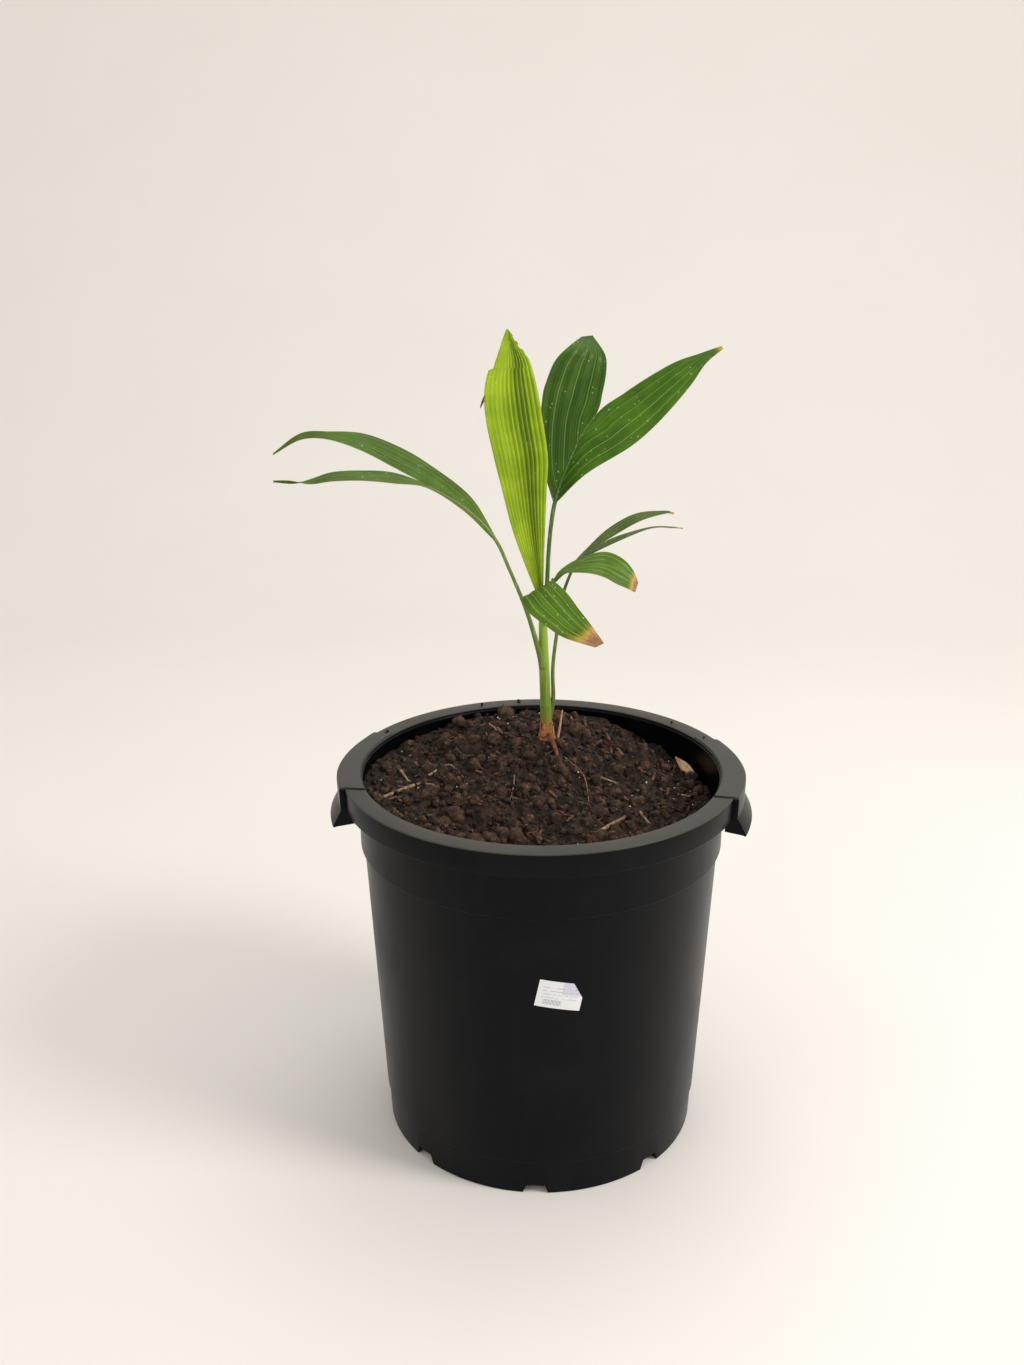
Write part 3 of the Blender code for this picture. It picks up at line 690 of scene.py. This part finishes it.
def pot_section():
    """The wall from the middle of the floor, up its inside, over the rim and down its outside."""
    top = POT_HEIGHT
    bead_start, bead_low, bead_high, bead_end = (top - depth for depth in BEAD_DEPTHS)
    return softened(
        [
            (HUB_R, FLOOR_Z, 0),
            (FOOT_R - WALL, FLOOR_Z, 2.0),
            (BODY_BOTTOM_R - STEP_IN - WALL, STEP_Z - 1, 0.6),
            (BODY_BOTTOM_R - WALL, STEP_Z, 0.6),
            (BODY_TOP_R - WALL, BAND_BOTTOM_Z - 2, 0.8),
            (BAND_R - WALL, BAND_BOTTOM_Z + 1, 0.8),
            (BAND_R - WALL, bead_start, 0.6),
            (BEAD_R, bead_low, 0.7),
            (BEAD_R, bead_high, 0.7),
            (RIM_INNER_R, bead_end, 0.3),
            (RIM_INNER_R, top, 1.0),
            (RIM_OUTER_R, top, 1.3),
            (RIM_OUTER_R - 0.5, SKIRT_Z, 0.8),
            (RIM_OUTER_R - SKIRT_THICK, SKIRT_Z, 0.6),
            (RIM_OUTER_R - SKIRT_THICK, top - SKIRT_THICK, 0.6),
            (BAND_R + 0.6, top - SKIRT_THICK, 1.0),
            (BAND_R, BAND_BOTTOM_Z + 1.2, 0.5),
            (BODY_TOP_R, BAND_BOTTOM_Z - 0.6, 0.7),
            (BODY_BOTTOM_R, STEP_Z + 0.8, 0.5),
            (BODY_BOTTOM_R - STEP_IN, STEP_Z, 0.4),
            (FOOT_R, 0, 1.2),
            (FOOT_RING_R, 0, 0.6),
            (FOOT_RING_R - 2, RECESS, 0.6),
            (PAD_R + 2, RECESS, 0.6),
            (PAD_R, 0, 0.6),
            (HUB_R, 0, 0),
        ]
    )


def pot_columns():
    """Per column: its turn at the rim's outer and inner edge, and how proud the rim stands there.

    A groove parts each proud stretch from the plain one beside it.
    """
    wall = GROOVE_HALF + GROOVE_WALL
    ends = [np.radians(pair) for pair in ZONE_ENDS]
    ends.append(ends[0] + 2 * math.pi)
    columns = []
    for k, count in enumerate(ZONE_COLUMNS):
        before, after = (ZONE_PROUD, 0.0) if k % 2 else (0.0, ZONE_PROUD)
        groove_floor = ((-GROOVE_HALF, -GROOVE_DEEP), (GROOVE_HALF, -GROOVE_DEEP))
        for offset, proud in ((-wall, before), *groove_floor, (wall, after)):
            columns.append((*(ends[k] + offset), proud))
        start, end = ends[k] + wall, ends[k + 1] - wall
        shares = np.linspace(0, 1, count + 2)[1:-1]
        columns.extend((*(start + (end - start) * share), after) for share in shares)
    return np.array(columns)


def with_stretches(section, columns):
    """Radius and height of each point of the section at each column, with the rim's proud stretches."""
    radius, height = section[:, :1], section[:, 1:]
    on_rim = (radius > RIM_INNER_R + 0.6) & (height > SKIRT_Z - 0.4)
    outside = on_rim & ((radius > RIM_OUTER_R - SKIRT_THICK + 0.4) | (height > POT_HEIGHT - 1.6))
    side_share = outside * np.clip((radius - (RIM_OUTER_R - SKIRT_THICK - 0.5)) / SKIRT_THICK, 0, 1)
    top_share = outside * np.clip((height - (POT_HEIGHT - 1.5)) / 1.4, 0, 1)
    turn, proud = columns[:, 0], columns[:, 2]
    near_front = np.clip((0.36 - np.sin(turn)) / 0.42, 0, 1)
    out = np.where(proud > 0, ZONE_PROUD + (ZONE_OUT - ZONE_PROUD) * near_front, proud)
    return radius + side_share * out, height + top_share * proud


def drain_cutters():
    """Blocks, narrower at the top, set across the bottom corner of the pot."""
    parts = []
    for number in range(DRAIN_COUNT):
        turn = Matrix.Rotation(DRAIN_TURN + 2 * math.pi * number / DRAIN_COUNT, 3, "Z")
        rings = []
        for radius in (DRAIN_INNER_R, FOOT_R + 8):
            rings.append([turn @ Vector((radius, *corner)) for corner in DRAIN_SECTION])
        parts.append(capped(rings))
    return joined(parts)


def combine(target, points, faces, operation):
    """Cuts or adds a closed mesh, drawn in millimetres, and keeps the result as plain mesh."""
    mesh = bpy.data.meshes.new("tool")
    mesh.from_pydata((np.asarray(points) * MM).tolist(), [], faces)
    tool = bpy.data.objects.new("tool", mesh)
    bpy.context.scene.collection.objects.link(tool)
    outward(tool)
    step = target.modifiers.new("step", "BOOLEAN")
    step.operation = operation
    step.object = tool
    step.solver = "MANIFOLD"
    graph = bpy.context.evaluated_depsgraph_get()
    result = bpy.data.meshes.new_from_object(target.evaluated_get(graph))
    target.modifiers.clear()
    target.data = result
    bpy.data.objects.remove(tool)


def build_pot(plastic):
    """The pot as one turned wall, with its rim's stretches and its drain slots."""
    section = pot_section()
    columns = pot_columns()
    inward = np.clip((RIM_OUTER_R - section[:, :1]) / (RIM_OUTER_R - RIM_INNER_R), 0, 1)
    turns = columns[:, 0] + (columns[:, 1] - columns[:, 0]) * inward
    points, faces = capped(around(*with_stretches(section, columns), turns))
    pot = outward(piece("nursery_pot", points, faces, plastic, ["pot"]))
    combine(pot, *drain_cutters(), "DIFFERENCE")
    pot.data.shade_smooth()
    pot.data.set_sharp_from_angle(angle=math.radians(32))


def swept(section, turns):
    """Points and faces of a section of radii and heights, carried round the pot."""
    section = np.asarray(section, float)
    return capped(around(section[:, 0], section[:, 1], turns[:, None]))


def build_grip(plastic, name, middle):
    """A lip that flares out below the rim's skirt, with a web at each end."""
    lip = [
        (GRIP_TOP_R - GRIP_THICK, GRIP_TOP_Z),
        (GRIP_TOP_R, GRIP_TOP_Z),
        (GRIP_LOW_R - 0.2, GRIP_LOW_Z + 1.0),
        (GRIP_LOW_R - 0.3, GRIP_LOW_Z + 0.3),
        (GRIP_LOW_R - 0.8, GRIP_LOW_Z),
        (GRIP_LOW_R - GRIP_THICK + 0.4, GRIP_LOW_Z),
        (GRIP_LOW_R - GRIP_THICK, GRIP_LOW_Z + 0.4),
    ]
    web = [
        (GRIP_WEB_R + 2, WEB_TOP_Z),
        (GRIP_TOP_R - 0.6, WEB_TOP_Z),
        (GRIP_TOP_R - 0.6, GRIP_TOP_Z - 1),
        (GRIP_LOW_R - 1, GRIP_LOW_Z + 0.3),
        (GRIP_WEB_R, GRIP_LOW_Z + 1.3),
    ]
    points, faces = swept(lip, middle + np.linspace(-GRIP_HALF_ANGLE, GRIP_HALF_ANGLE, 41))
    grip = outward(piece(name, points, faces, plastic))
    web_turn = GRIP_THICK / RIM_OUTER_R
    # Each web stops just short of the lip's end, so that no two faces meet in one plane
    short = 0.0004
    for end in (-1, 1):
        turns = middle + end * np.array([GRIP_HALF_ANGLE - web_turn, GRIP_HALF_ANGLE - short])
        combine(grip, *swept(web, turns), "UNION")
    grip.data.shade_smooth()
    grip.data.set_sharp_from_angle(angle=math.radians(30))
    edge = grip.modifiers.new("edges", "BEVEL")
    edge.width = GRIP_EDGE * MM
    edge.segments = 2
    edge.angle_limit = math.radians(35)


# Potting mix


def hump(x, y, centre, reach_x, reach_y):
    """A smooth rise of height 1 round a place."""
    return np.exp(-0.5 * (((x - centre[0]) / reach_x) ** 2 + ((y - centre[1]) / reach_y) ** 2))


def soil_height(x, y):
    """Height of the mix: a tilted bed, high at the back, the stem's mound and the larger clods."""
    x, y = np.asarray(x, float), np.asarray(y, float)
    height = BED_Z - BED_TILT * x
    for centre, tall, across, front, back in (BACK_RISE, MOUND):
        height = height + tall * hump(x, y, centre, across, np.where(y < centre[1], front, back))
    for clod_x, clod_y, radius, tall in CLODS:
        away = np.hypot(x - clod_x, y - clod_y) / radius
        height = height + tall * np.clip(1 - away**2, 0, None) ** 1.5
    return height


def crumble(x, y):
    """Small lumps of the mix, in millimetres."""
    coarse = noise.fractal(Vector((x / 17, y / 17, 3.0)), 0.7, 2.1, 4)
    fine = noise.fractal(Vector((x / 5, y / 5, 9.0)), 0.8, 2.0, 3)
    return 4.2 * coarse + 1.8 * fine


def mix_ring(radius, turns):
    """One ring of the top of the mix. The first lies round the stem, the last round the pot's axis."""
    towards_seat = 1 - radius / SOIL_EDGE_R
    x = SEAT[0] * towards_seat + radius * np.cos(turns)
    y = SEAT[1] * towards_seat + radius * np.sin(turns)
    rough = np.array([crumble(*place) for place in zip(x, y)])
    z = soil_height(x, y) + rough * min(1.0, radius / CALM_R)
    near_stem = np.clip(1 - (np.hypot(x - SEAT[0], y - SEAT[1]) - SEAT_R) / SEAT_EASE, 0, 1)
    z = z * (1 - near_stem) + np.minimum(z, SEAT_Z) * near_stem
    if radius > SOIL_EDGE_R - SOIL_EDGE_WIDE:
        z = np.minimum(z, SOIL_EDGE_Z + SOIL_EDGE_RISE * (SOIL_EDGE_R - radius) / SOIL_EDGE_WIDE)
    return np.stack([x, y, z], axis=-1)


def build_mix(finish):
    """The closed body of mix: a crumbled top, and a side just inside the pot's wall."""
    turns = 2 * np.pi * np.arange(SOIL_COLUMNS) / SOIL_COLUMNS
    rings = [mix_ring(radius, turns) for radius in np.linspace(2.0, SOIL_EDGE_R, SOIL_ROWS)]
    rings.extend(around(radius, z, turns) for radius, z in SOIL_SIDE)
    points, faces = capped(rings)
    outward(piece("mix", points, faces, finish, ["soil"]))


def on_mix(x, y, lift):
    """The point at this height over the crumbled mix."""
    return (x, y, float(soil_height(x, y)) + crumble(x, y) + lift)


def ball(fineness):
    """Points and faces of a ball of triangles."""
    bm = bmesh.new()
    bmesh.ops.create_icosphere(bm, subdivisions=fineness, radius=1.0)
    points = np.array([vert.co[:] for vert in bm.verts])
    faces = [[vert.index for vert in face.verts] for face in bm.faces]
    bm.free()
    return points, faces


def dented(random, points):
    """How far out each point of a grain stands, by chance on a coarse ball and by noise on a fine one."""
    if len(points) < 20:
        return random.uniform(0.72, 1.18, len(points))
    start = Vector(random.uniform(-50, 50, 3))
    lumps = [noise.fractal(Vector(point) * 1.3 + start, 0.8, 2.1, 4) for point in points]
    return 1 + 0.38 * np.array(lumps)


def grains(random, places, sizes, squash, fineness=1):
    """Grains scattered on the mix, each turned and dented its own way."""
    points, faces = ball(fineness)
    parts = []
    for (x, y), size in zip(places, sizes):
        shape = points * dented(random, points)[:, None] * random.uniform(squash, 1.0, 3)
        turn = np.array(Matrix.Rotation(random.uniform(0, 6.28), 3, Vector(random.normal(size=3))))
        parts.append((shape @ turn.T * size + on_mix(x, y, size * 0.25), faces))
    return joined(parts)


def scattered(random, count, most=146.0, clear=9.5):
    """Places on the mix, clear of the stem's foot."""
    places = []
    while len(places) < count:
        radius, turn = most * math.sqrt(random.uniform()), random.uniform(0, 2 * math.pi)
        x, y = radius * math.cos(turn), radius * math.sin(turn)
        if math.hypot(x - SEAT[0], y - SEAT[1]) > clear:
            places.append((x, y))
    return places


def build_crumbs(dark_mix, brown_mix, pale):
    """Loose crumbs in two tones, rounder nuggets and a few pale grains."""
    random = np.random.default_rng(7)
    for name, finish, share in (("crumbs_dark", dark_mix, 0.55), ("crumbs_brown", brown_mix, 0.45)):
        count = int(CRUMB_COUNT * share)
        sizes = 0.7 + 3.6 * random.uniform(size=count) ** 4
        points, faces = grains(random, scattered(random, count), sizes, 0.6)
        piece(name, points, faces, finish, sharp=50)
    sizes = 3.2 + 4.6 * random.uniform(size=NUGGET_COUNT) ** 2
    points, faces = grains(random, scattered(random, NUGGET_COUNT, 140.0, 16.0), sizes, 0.7, 3)
    piece("nuggets", points, faces, brown_mix)
    sizes = random.uniform(0.5, 1.15, PALE_GRAIN_COUNT)
    points, faces = grains(random, scattered(random, PALE_GRAIN_COUNT), sizes, 0.8)
    piece("pale_grains", points, faces, pale, sharp=50)


def chip(random):
    """Points and faces of one flat splinter, narrower towards its ends."""
    length, width, thick = random.uniform(3.5, 11), random.uniform(1.6, 3.4), random.uniform(0.6, 1.2)
    corners = ((-0.5, -0.4), (0.5, -0.5), (0.45, 0.4), (-0.4, 0.5))
    rings = []
    for share in np.linspace(-0.5, 0.5, 5):
        wide = width * (1 - 1.2 * share**2) * random.uniform(0.8, 1.1)
        tall = thick * random.uniform(0.8, 1.2)
        rings.append([(share * length, wide * across, tall * up) for across, up in corners])
    return capped(rings)


def build_chips(finish):
    """Flat splinters of bark that lie on the mix."""
    random = np.random.default_rng(11)
    parts = []
    for x, y in scattered(random, CHIP_COUNT, 142, 16):
        points, faces = chip(random)
        heading = Matrix.Rotation(random.uniform(0, 6.28), 3, "Z")
        tilt = Matrix.Rotation(random.uniform(-0.5, 0.5), 3, "Y")
        parts.append((points @ np.array(heading @ tilt).T + on_mix(x, y, 1.6), faces))
    points, faces = joined(parts)
    outward(piece("bark_chips", points, faces, finish, sharp=35))


def curled(turns, places):
    """The section of a dead leaf that has rolled up flat."""
    return 0.22 + 0.78 * np.abs(np.cos(turns + 1.2 * places)) ** 2


def litter(name, rods, finish):
    """Rods that lie on the mix, as one piece."""
    points, faces = joined(rods)
    outward(piece(name, points, faces, finish))


def build_litter(twig, straw, root):
    """Twigs, thin roots, straws and a curled leaf, each where it lies in the pot."""
    twigs = [
        rod([on_mix(x, y, 1.6) for x, y in route], (radius, radius * 0.9, radius * 0.6), 8, 14)
        for route, radius in TWIGS
    ]
    roots = [
        rod([on_mix(*point) for point in route], radii, 6, rows)
        for route, radii, rows in THIN_ROOTS
    ]
    litter("twigs", twigs, twig)
    litter("thin_roots", roots, root)
    litter("straws", [rod(*numbers) for numbers in STRAWS], straw)
    leaf = rod([on_mix(*point) for point in CURLED_LEAF], CURLED_LEAF_RADII, 24, 40, curled)
    litter("curled_leaf", [leaf], straw)


def build_rim_crumbs(finish):
    """A few crumbs that were left on the rim."""
    random = np.random.default_rng(5)
    points, faces = ball(1)
    parts = []
    for degrees in RIM_CRUMB_TURNS:
        size = random.uniform(1.0, 1.9)
        centre = around(RIM_CRUMB_R, POT_HEIGHT + size * 0.8, math.radians(degrees))
        parts.append((points * random.uniform(0.7, 1.2, (len(points), 1)) * size + centre, faces))
    points, faces = joined(parts)
    piece("rim_crumbs", points, faces, finish, sharp=50)


# Palm


def inner_side(stations, route, places):
    """A lobe's inner side, on the rib as far as the fork and free beyond it."""
    rib = [smooth(route, [side])[0] if isinstance(side, float) else side for side, _ in stations]
    free = smooth(rib, places)
    spans = len(stations) - 1
    for k, place in enumerate(places):
        span = min(int(place * spans), spans - 1)
        start, end = stations[span][0], stations[span + 1][0]
        if isinstance(start, float) and isinstance(end, float):
            free[k] = smooth(route, [start + (end - start) * (place * spans - span)])[0]
    return free


def fork_place(stations):
    """Where the lobe leaves the rib, as a share of its stations."""
    on_rib = sum(isinstance(side, float) for side, _ in stations)
    return max(on_rib - 1, 0) / (len(stations) - 1)


def pleated(name, vein, share):
    """How far the pleats lift each point off the blade, as a share of its width there."""
    folds, depth = PLEATS.get(name, PLAIN_PLEATS)
    wave = 1 - 4 * np.abs((vein * folds) % 1.0 - 0.5)
    wave = np.sin(wave * np.pi / 2) * depth
    if name == "spear_leaf":
        flatter_first_side = 0.25 + 0.75 * np.clip((share - 0.3) / 0.2, 0, 1)
        wave = wave * flatter_first_side
    return wave * np.clip(np.minimum(share, 1 - share) * 12, 0.15, 1)


def blade_points(name, stations, route):
    """Points of a lobe, with where each lies along and across the veins and across the blade."""
    places = np.linspace(0, 1, BLADE_ROWS)
    inner = inner_side(stations, route, places)
    margin = smooth([outer for _, outer in stations], places)
    if name == "spear_leaf":
        inner, margin = torn_sides(inner, margin, places)
    width = np.linalg.norm(margin - inner, axis=1)
    face = unit(np.cross(margin - inner, np.gradient(inner, axis=0)))
    share = np.linspace(0, 1, BLADE_COLUMNS)
    fork = fork_place(stations)
    start = np.clip(1 - places / fork, 0, 1) ** 1.5 if fork else np.zeros_like(places)
    vein = start[:, None] + (1 - start[:, None]) * share[None, :]
    lift = pleated(name, vein, share) * width[:, None]
    points = inner[:, None] + (margin - inner)[:, None] * share[None, :, None]
    points = points + face[:, None] * lift[..., None]
    along, across = np.broadcast_arrays(places[:, None], share)
    layers = {"veins": np.stack([along, vein], axis=-1), "edges": np.stack([across, along], axis=-1)}
    return points, layers


def torn_sides(inner, margin, places):
    """The young leaf's margins are torn into steps near its top."""
    step = np.where(places > 0.745, 0.10, 0.0) * np.clip((0.93 - places) / 0.12, 0, 1)
    jags = np.abs(0.025 * np.sin(places * 260) * np.clip((places - 0.72) / 0.1, 0, 1))
    notches = np.clip((places - 0.8) / 0.1, 0, 1) * 0.05 * (1 + np.sign(np.sin(places * 95)))
    across = margin - inner
    return inner + across * (step + jags)[:, None], margin - across * notches[:, None]


def build_lobe(name, finish):
    """One lobe as a thin blade. The first two words of its name are those of its leaf."""
    leaf = "_".join(name.split("_")[:2])
    points, layers = blade_points(name, LOBES[name], STALKS[leaf][0])
    faces = grid_faces(BLADE_ROWS, BLADE_COLUMNS, closed=False)
    blade = piece(f"{name}_blade", points, faces, finish, [name], layers=layers)
    thick = blade.modifiers.new("thickness", "SOLIDIFY")
    thick.thickness = BLADE_THICK * MM
    thick.offset = 0.0


def grooved(turns, _):
    """A stalk's section, with a shallow groove along its upper side. It is the same all along."""
    return 1 - 0.16 * np.exp(-(((turns - np.pi / 2) / 0.5) ** 2))


def sheathed(turns, places):
    """The stem's wrapped leaf bases: their edges run up it as steps."""
    whole = 2 * np.pi
    outer_wrap = 0.07 * np.mod(turns + 0.5 * places, whole) / whole
    inner_wrap = 0.05 * np.mod(turns * 2 - 1.1 * places + 2.0, whole) / whole
    upper_knot = 0.05 * np.exp(-(((places - 0.62) / 0.03) ** 2))
    lower_knot = 0.04 * np.exp(-(((places - 0.33) / 0.02) ** 2))
    return 0.94 + outer_wrap + inner_wrap + upper_knot + lower_knot


def build_stalks(finish, dark_finish):
    """The stalk of each leaf."""
    for leaf, (route, radii) in STALKS.items():
        points, faces = rod(route, radii, 24, 110, grooved)
        tone = dark_finish if leaf in ("tall_leaf", "low_leaf") else finish
        outward(piece(f"{leaf}_stalk_skin", points, faces, tone, [f"{leaf}_stalk"]))


def torn_base(random, low, high, radius_low, radius_high, start, sweep):
    """One ragged scale of a dead leaf base, wrapped part way round the stem."""
    rows, columns = 14, 26
    turns = start + sweep * np.linspace(0, 1, columns)
    tear = high - random.uniform(0, 0.8, columns) * (high - low)
    tear = np.convolve(np.pad(tear, 1, mode="edge"), (0.25, 0.5, 0.25), mode="valid")
    up = np.linspace(0, 1, rows)[:, None]
    z = low + (tear - low) * up
    radius = radius_low + (radius_high - radius_low) * up**0.7 + 0.7 * np.sin(turns * 5)[None, :] * up
    stem_low, stem_tall = 330.5, 118.0
    centre = smooth(STEM_ROUTE, (z.ravel() - stem_low) / stem_tall).reshape(rows, columns, 3)
    x = centre[..., 0] + radius * np.cos(turns)
    y = centre[..., 1] + radius * np.sin(turns)
    return np.stack([x, y, z], axis=-1), grid_faces(rows, columns, closed=False)


def build_stem(green, torn, root_brown):
    """The stem with its torn foot and root, and the dry point on the young leaf's margin."""
    points, faces = rod(STEM_ROUTE, STEM_RADII, 64, 160, sheathed)
    outward(piece("stem_skin", points, faces, green, ["stem"]))
    random = np.random.default_rng(3)
    points, faces = joined([torn_base(random, *numbers) for numbers in TORN_BASES])
    dead = piece("torn_leaf_bases", points, faces, torn)
    thick = dead.modifiers.new("thickness", "SOLIDIFY")
    thick.thickness = TORN_BASE_THICK * MM
    points, faces = rod(FOOT_ROOT, FOOT_ROOT_RADII, 14, 40)
    outward(piece("foot_root", points, faces, root_brown))
    points, faces = rod(DRY_POINT, DRY_POINT_RADII, 8, 10)
    outward(piece("dry_leaf_point", points, faces, root_brown))


def lobe_finishes():
    """The finish of each lobe."""
    pale_vein = srgb(140, 168, 90)
    brown_tip = (srgb(96, 44, 26), srgb(206, 160, 118))
    yellow_tip = (srgb(120, 110, 40), srgb(190, 176, 80))
    pleat_shade = (0.66, 0.17, srgb(38, 76, 8))
    dark_vein = srgb(122, 146, 76)
    dark = leaf_finish("dark_leaf", srgb(34, 66, 8), srgb(62, 98, 14), dark_vein, 4.0)
    tall = leaf_finish(
        "tall_leaf",
        srgb(40, 76, 8), srgb(76, 118, 14), pale_vein, 5.0,
        tip=(0.98, *yellow_tip),
    )
    arched = leaf_finish("arched_leaf", srgb(44, 74, 6), srgb(80, 112, 14), pale_vein, 6.0, sheen=0.1)
    low = leaf_finish(
        "low_leaf",
        srgb(46, 70, 16), srgb(88, 110, 44), pale_vein, 4.0,
        tip=(0.93, *brown_tip),
    )
    drooping = leaf_finish(
        "drooping_leaf",
        srgb(46, 80, 4), srgb(84, 122, 12), srgb(176, 194, 112), 6.0,
        tip=(0.915, *brown_tip), sheen=0.12,
    )
    spear = leaf_finish(
        "spear_leaf",
        srgb(112, 150, 10), srgb(172, 200, 40), srgb(204, 220, 84), 14.0,
        sheen=0.1, band=pleat_shade,
    )
    return {
        "left_leaf_far_lobe": arched,
        "left_leaf_near_lobe": arched,
        "spear_leaf": spear,
        "tall_leaf_left_lobe": dark,
        "tall_leaf_right_lobe": tall,
        "drooping_leaf_right_lobe": drooping,
        "drooping_leaf_front_lobe": drooping,
        "low_leaf_far_lobe": low,
        "low_leaf_near_lobe": low,
    }


def build_palm():
    """Blades, stalks and stem."""
    for name, finish in lobe_finishes().items():
        build_lobe(name, finish)
    stalk_tones = (srgb(120, 128, 50), srgb(104, 130, 42), srgb(98, 124, 46))
    dark_tones = (srgb(96, 104, 44), srgb(98, 122, 48), srgb(72, 96, 38))
    stem_tones = (srgb(150, 112, 52), srgb(112, 140, 40), srgb(150, 182, 52))
    build_stalks(
        stem_finish("stalk_green", 0.34, 0.50, *stalk_tones),
        stem_finish("stalk_dark", 0.37, 0.52, *dark_tones),
    )
    build_stem(
        stem_finish("stem_green", 0.336, 0.44, *stem_tones),
        plain_grain("torn_sheath", srgb(190, 122, 68), srgb(104, 62, 34), 320.0),
        plain_grain("root_brown", srgb(128, 66, 40), srgb(84, 50, 34), 300.0),
    )


# Surroundings


def build_stage():
    """A pale floor that curves up into a backdrop, in metres."""
    side, front, back, bend, tall = 6.0, -4.0, 2.6, 1.2, 5.0
    line = [(front, 0.0), (back - bend, 0.0)]
    for turn in np.linspace(0, np.pi / 2, 16)[1:]:
        line.append((back - bend + bend * math.sin(turn), bend - bend * math.cos(turn)))
    line.append((back, tall))
    points = [(x, y, z) for y, z in line for x in (-side, side)]
    faces = [(2 * k, 2 * k + 1, 2 * k + 3, 2 * k + 2) for k in range(len(line) - 1)]
    mesh = bpy.data.meshes.new("floor")
    mesh.from_pydata(points, [], faces)
    mesh.shade_smooth()
    shade = Shade("floor_paint", {"Specular IOR Level": 0.1})
    tone = shade.noise(shade.place(), 3.0, 4.0)
    colour = shade.mix(tone, srgb(234, 231, 226), srgb(239, 236, 232))
    mesh.materials.append(shade.finish(colour, 0.75 + tone * 0.1))
    floor = bpy.data.objects.new("floor", mesh)
    bpy.context.scene.collection.objects.link(floor)


def add_light(name, place, target, size, power, colour):
    """A round soft light, in metres and watts, turned to a target."""
    light = bpy.data.lights.new(name, "AREA")
    light.shape = "DISK"
    light.size = size
    light.energy = power
    light.color = colour
    made = bpy.data.objects.new(name, light)
    made.location = place
    made.rotation_euler = (Vector(target) - Vector(place)).to_track_quat("-Z", "Y").to_euler()
    bpy.context.scene.collection.objects.link(made)


def light_scene():
    """A warm key light at the right, a light above, a weak fill at the front left and a pale room."""
    warm, cool = (1.0, 0.97, 0.94), (0.96, 0.98, 1.0)
    add_light("key", (1.9, -0.8, 1.8), (0, 0, 0.35), size=0.9, power=37, colour=warm)
    add_light("top", (0.2, 0.7, 2.3), (0, 0, 0.3), size=1.3, power=9, colour=cool)
    add_light("fill", (-1.8, -1.4, 1.3), (0, 0, 0.3), size=1.5, power=3, colour=cool)
    world = bpy.data.worlds.new("room")
    world.use_nodes = True
    glow = world.node_tree.nodes["Background"].inputs
    glow["Color"].default_value = srgb(250, 246, 240)
    glow["Strength"].default_value = 0.8
    bpy.context.scene.world = world
    bpy.context.scene.view_settings.view_transform = "Standard"


def place_camera():
    """The camera, which looks down on the pot from the front."""
    camera = bpy.data.cameras.new("camera")
    camera.lens = CAMERA_LENS
    camera.sensor_width = CAMERA_SENSOR
    made = bpy.data.objects.new("camera", camera)
    right, up = Vector(CAMERA_RIGHT), Vector(CAMERA_UP)
    turn = Matrix((right, up, right.cross(up))).transposed().to_4x4()
    made.matrix_world = Matrix.Translation(Vector(CAMERA_PLACE) * MM) @ turn
    bpy.context.scene.collection.objects.link(made)
    bpy.context.scene.camera = made


def build_nursery_pot():
    """The pot and its two hand grips."""
    plastic = pot_plastic()
    build_pot(plastic)
    build_grip(plastic, "right_grip", GRIP_TURN)
    build_grip(plastic, "left_grip", GRIP_TURN + math.pi)


def build_potting_mix():
    """The mix and all that lies on it."""
    dark = potting_mix("mix_dark", srgb(20, 14, 11), srgb(58, 42, 32), srgb(112, 86, 66))
    brown = potting_mix("mix_brown", srgb(40, 28, 21), srgb(88, 64, 48), srgb(156, 124, 98))
    build_mix(dark)
    build_crumbs(dark, brown, plain_grain("pale_grain", srgb(222, 218, 208), srgb(186, 180, 168), 400.0))
    build_chips(plain_grain("bark", srgb(104, 66, 44), srgb(52, 36, 28), 220.0))
    build_litter(
        plain_grain("twig", srgb(156, 128, 98), srgb(98, 74, 54), 200.0),
        plain_grain("straw", srgb(214, 178, 140), srgb(178, 132, 96), 200.0),
        plain_grain("thin_root", srgb(150, 102, 74), srgb(110, 74, 52), 260.0),
    )
    build_rim_crumbs(dark)


def print_label(label):
    """Gives the label's own solid its print."""
    label.data.materials.clear()
    label.data.materials.append(label_print())


# The potted palm in its surroundings

place_camera()
build_stage()
light_scene()
build_nursery_pot()
build_potting_mix()
build_palm()
print_label(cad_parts["label"])
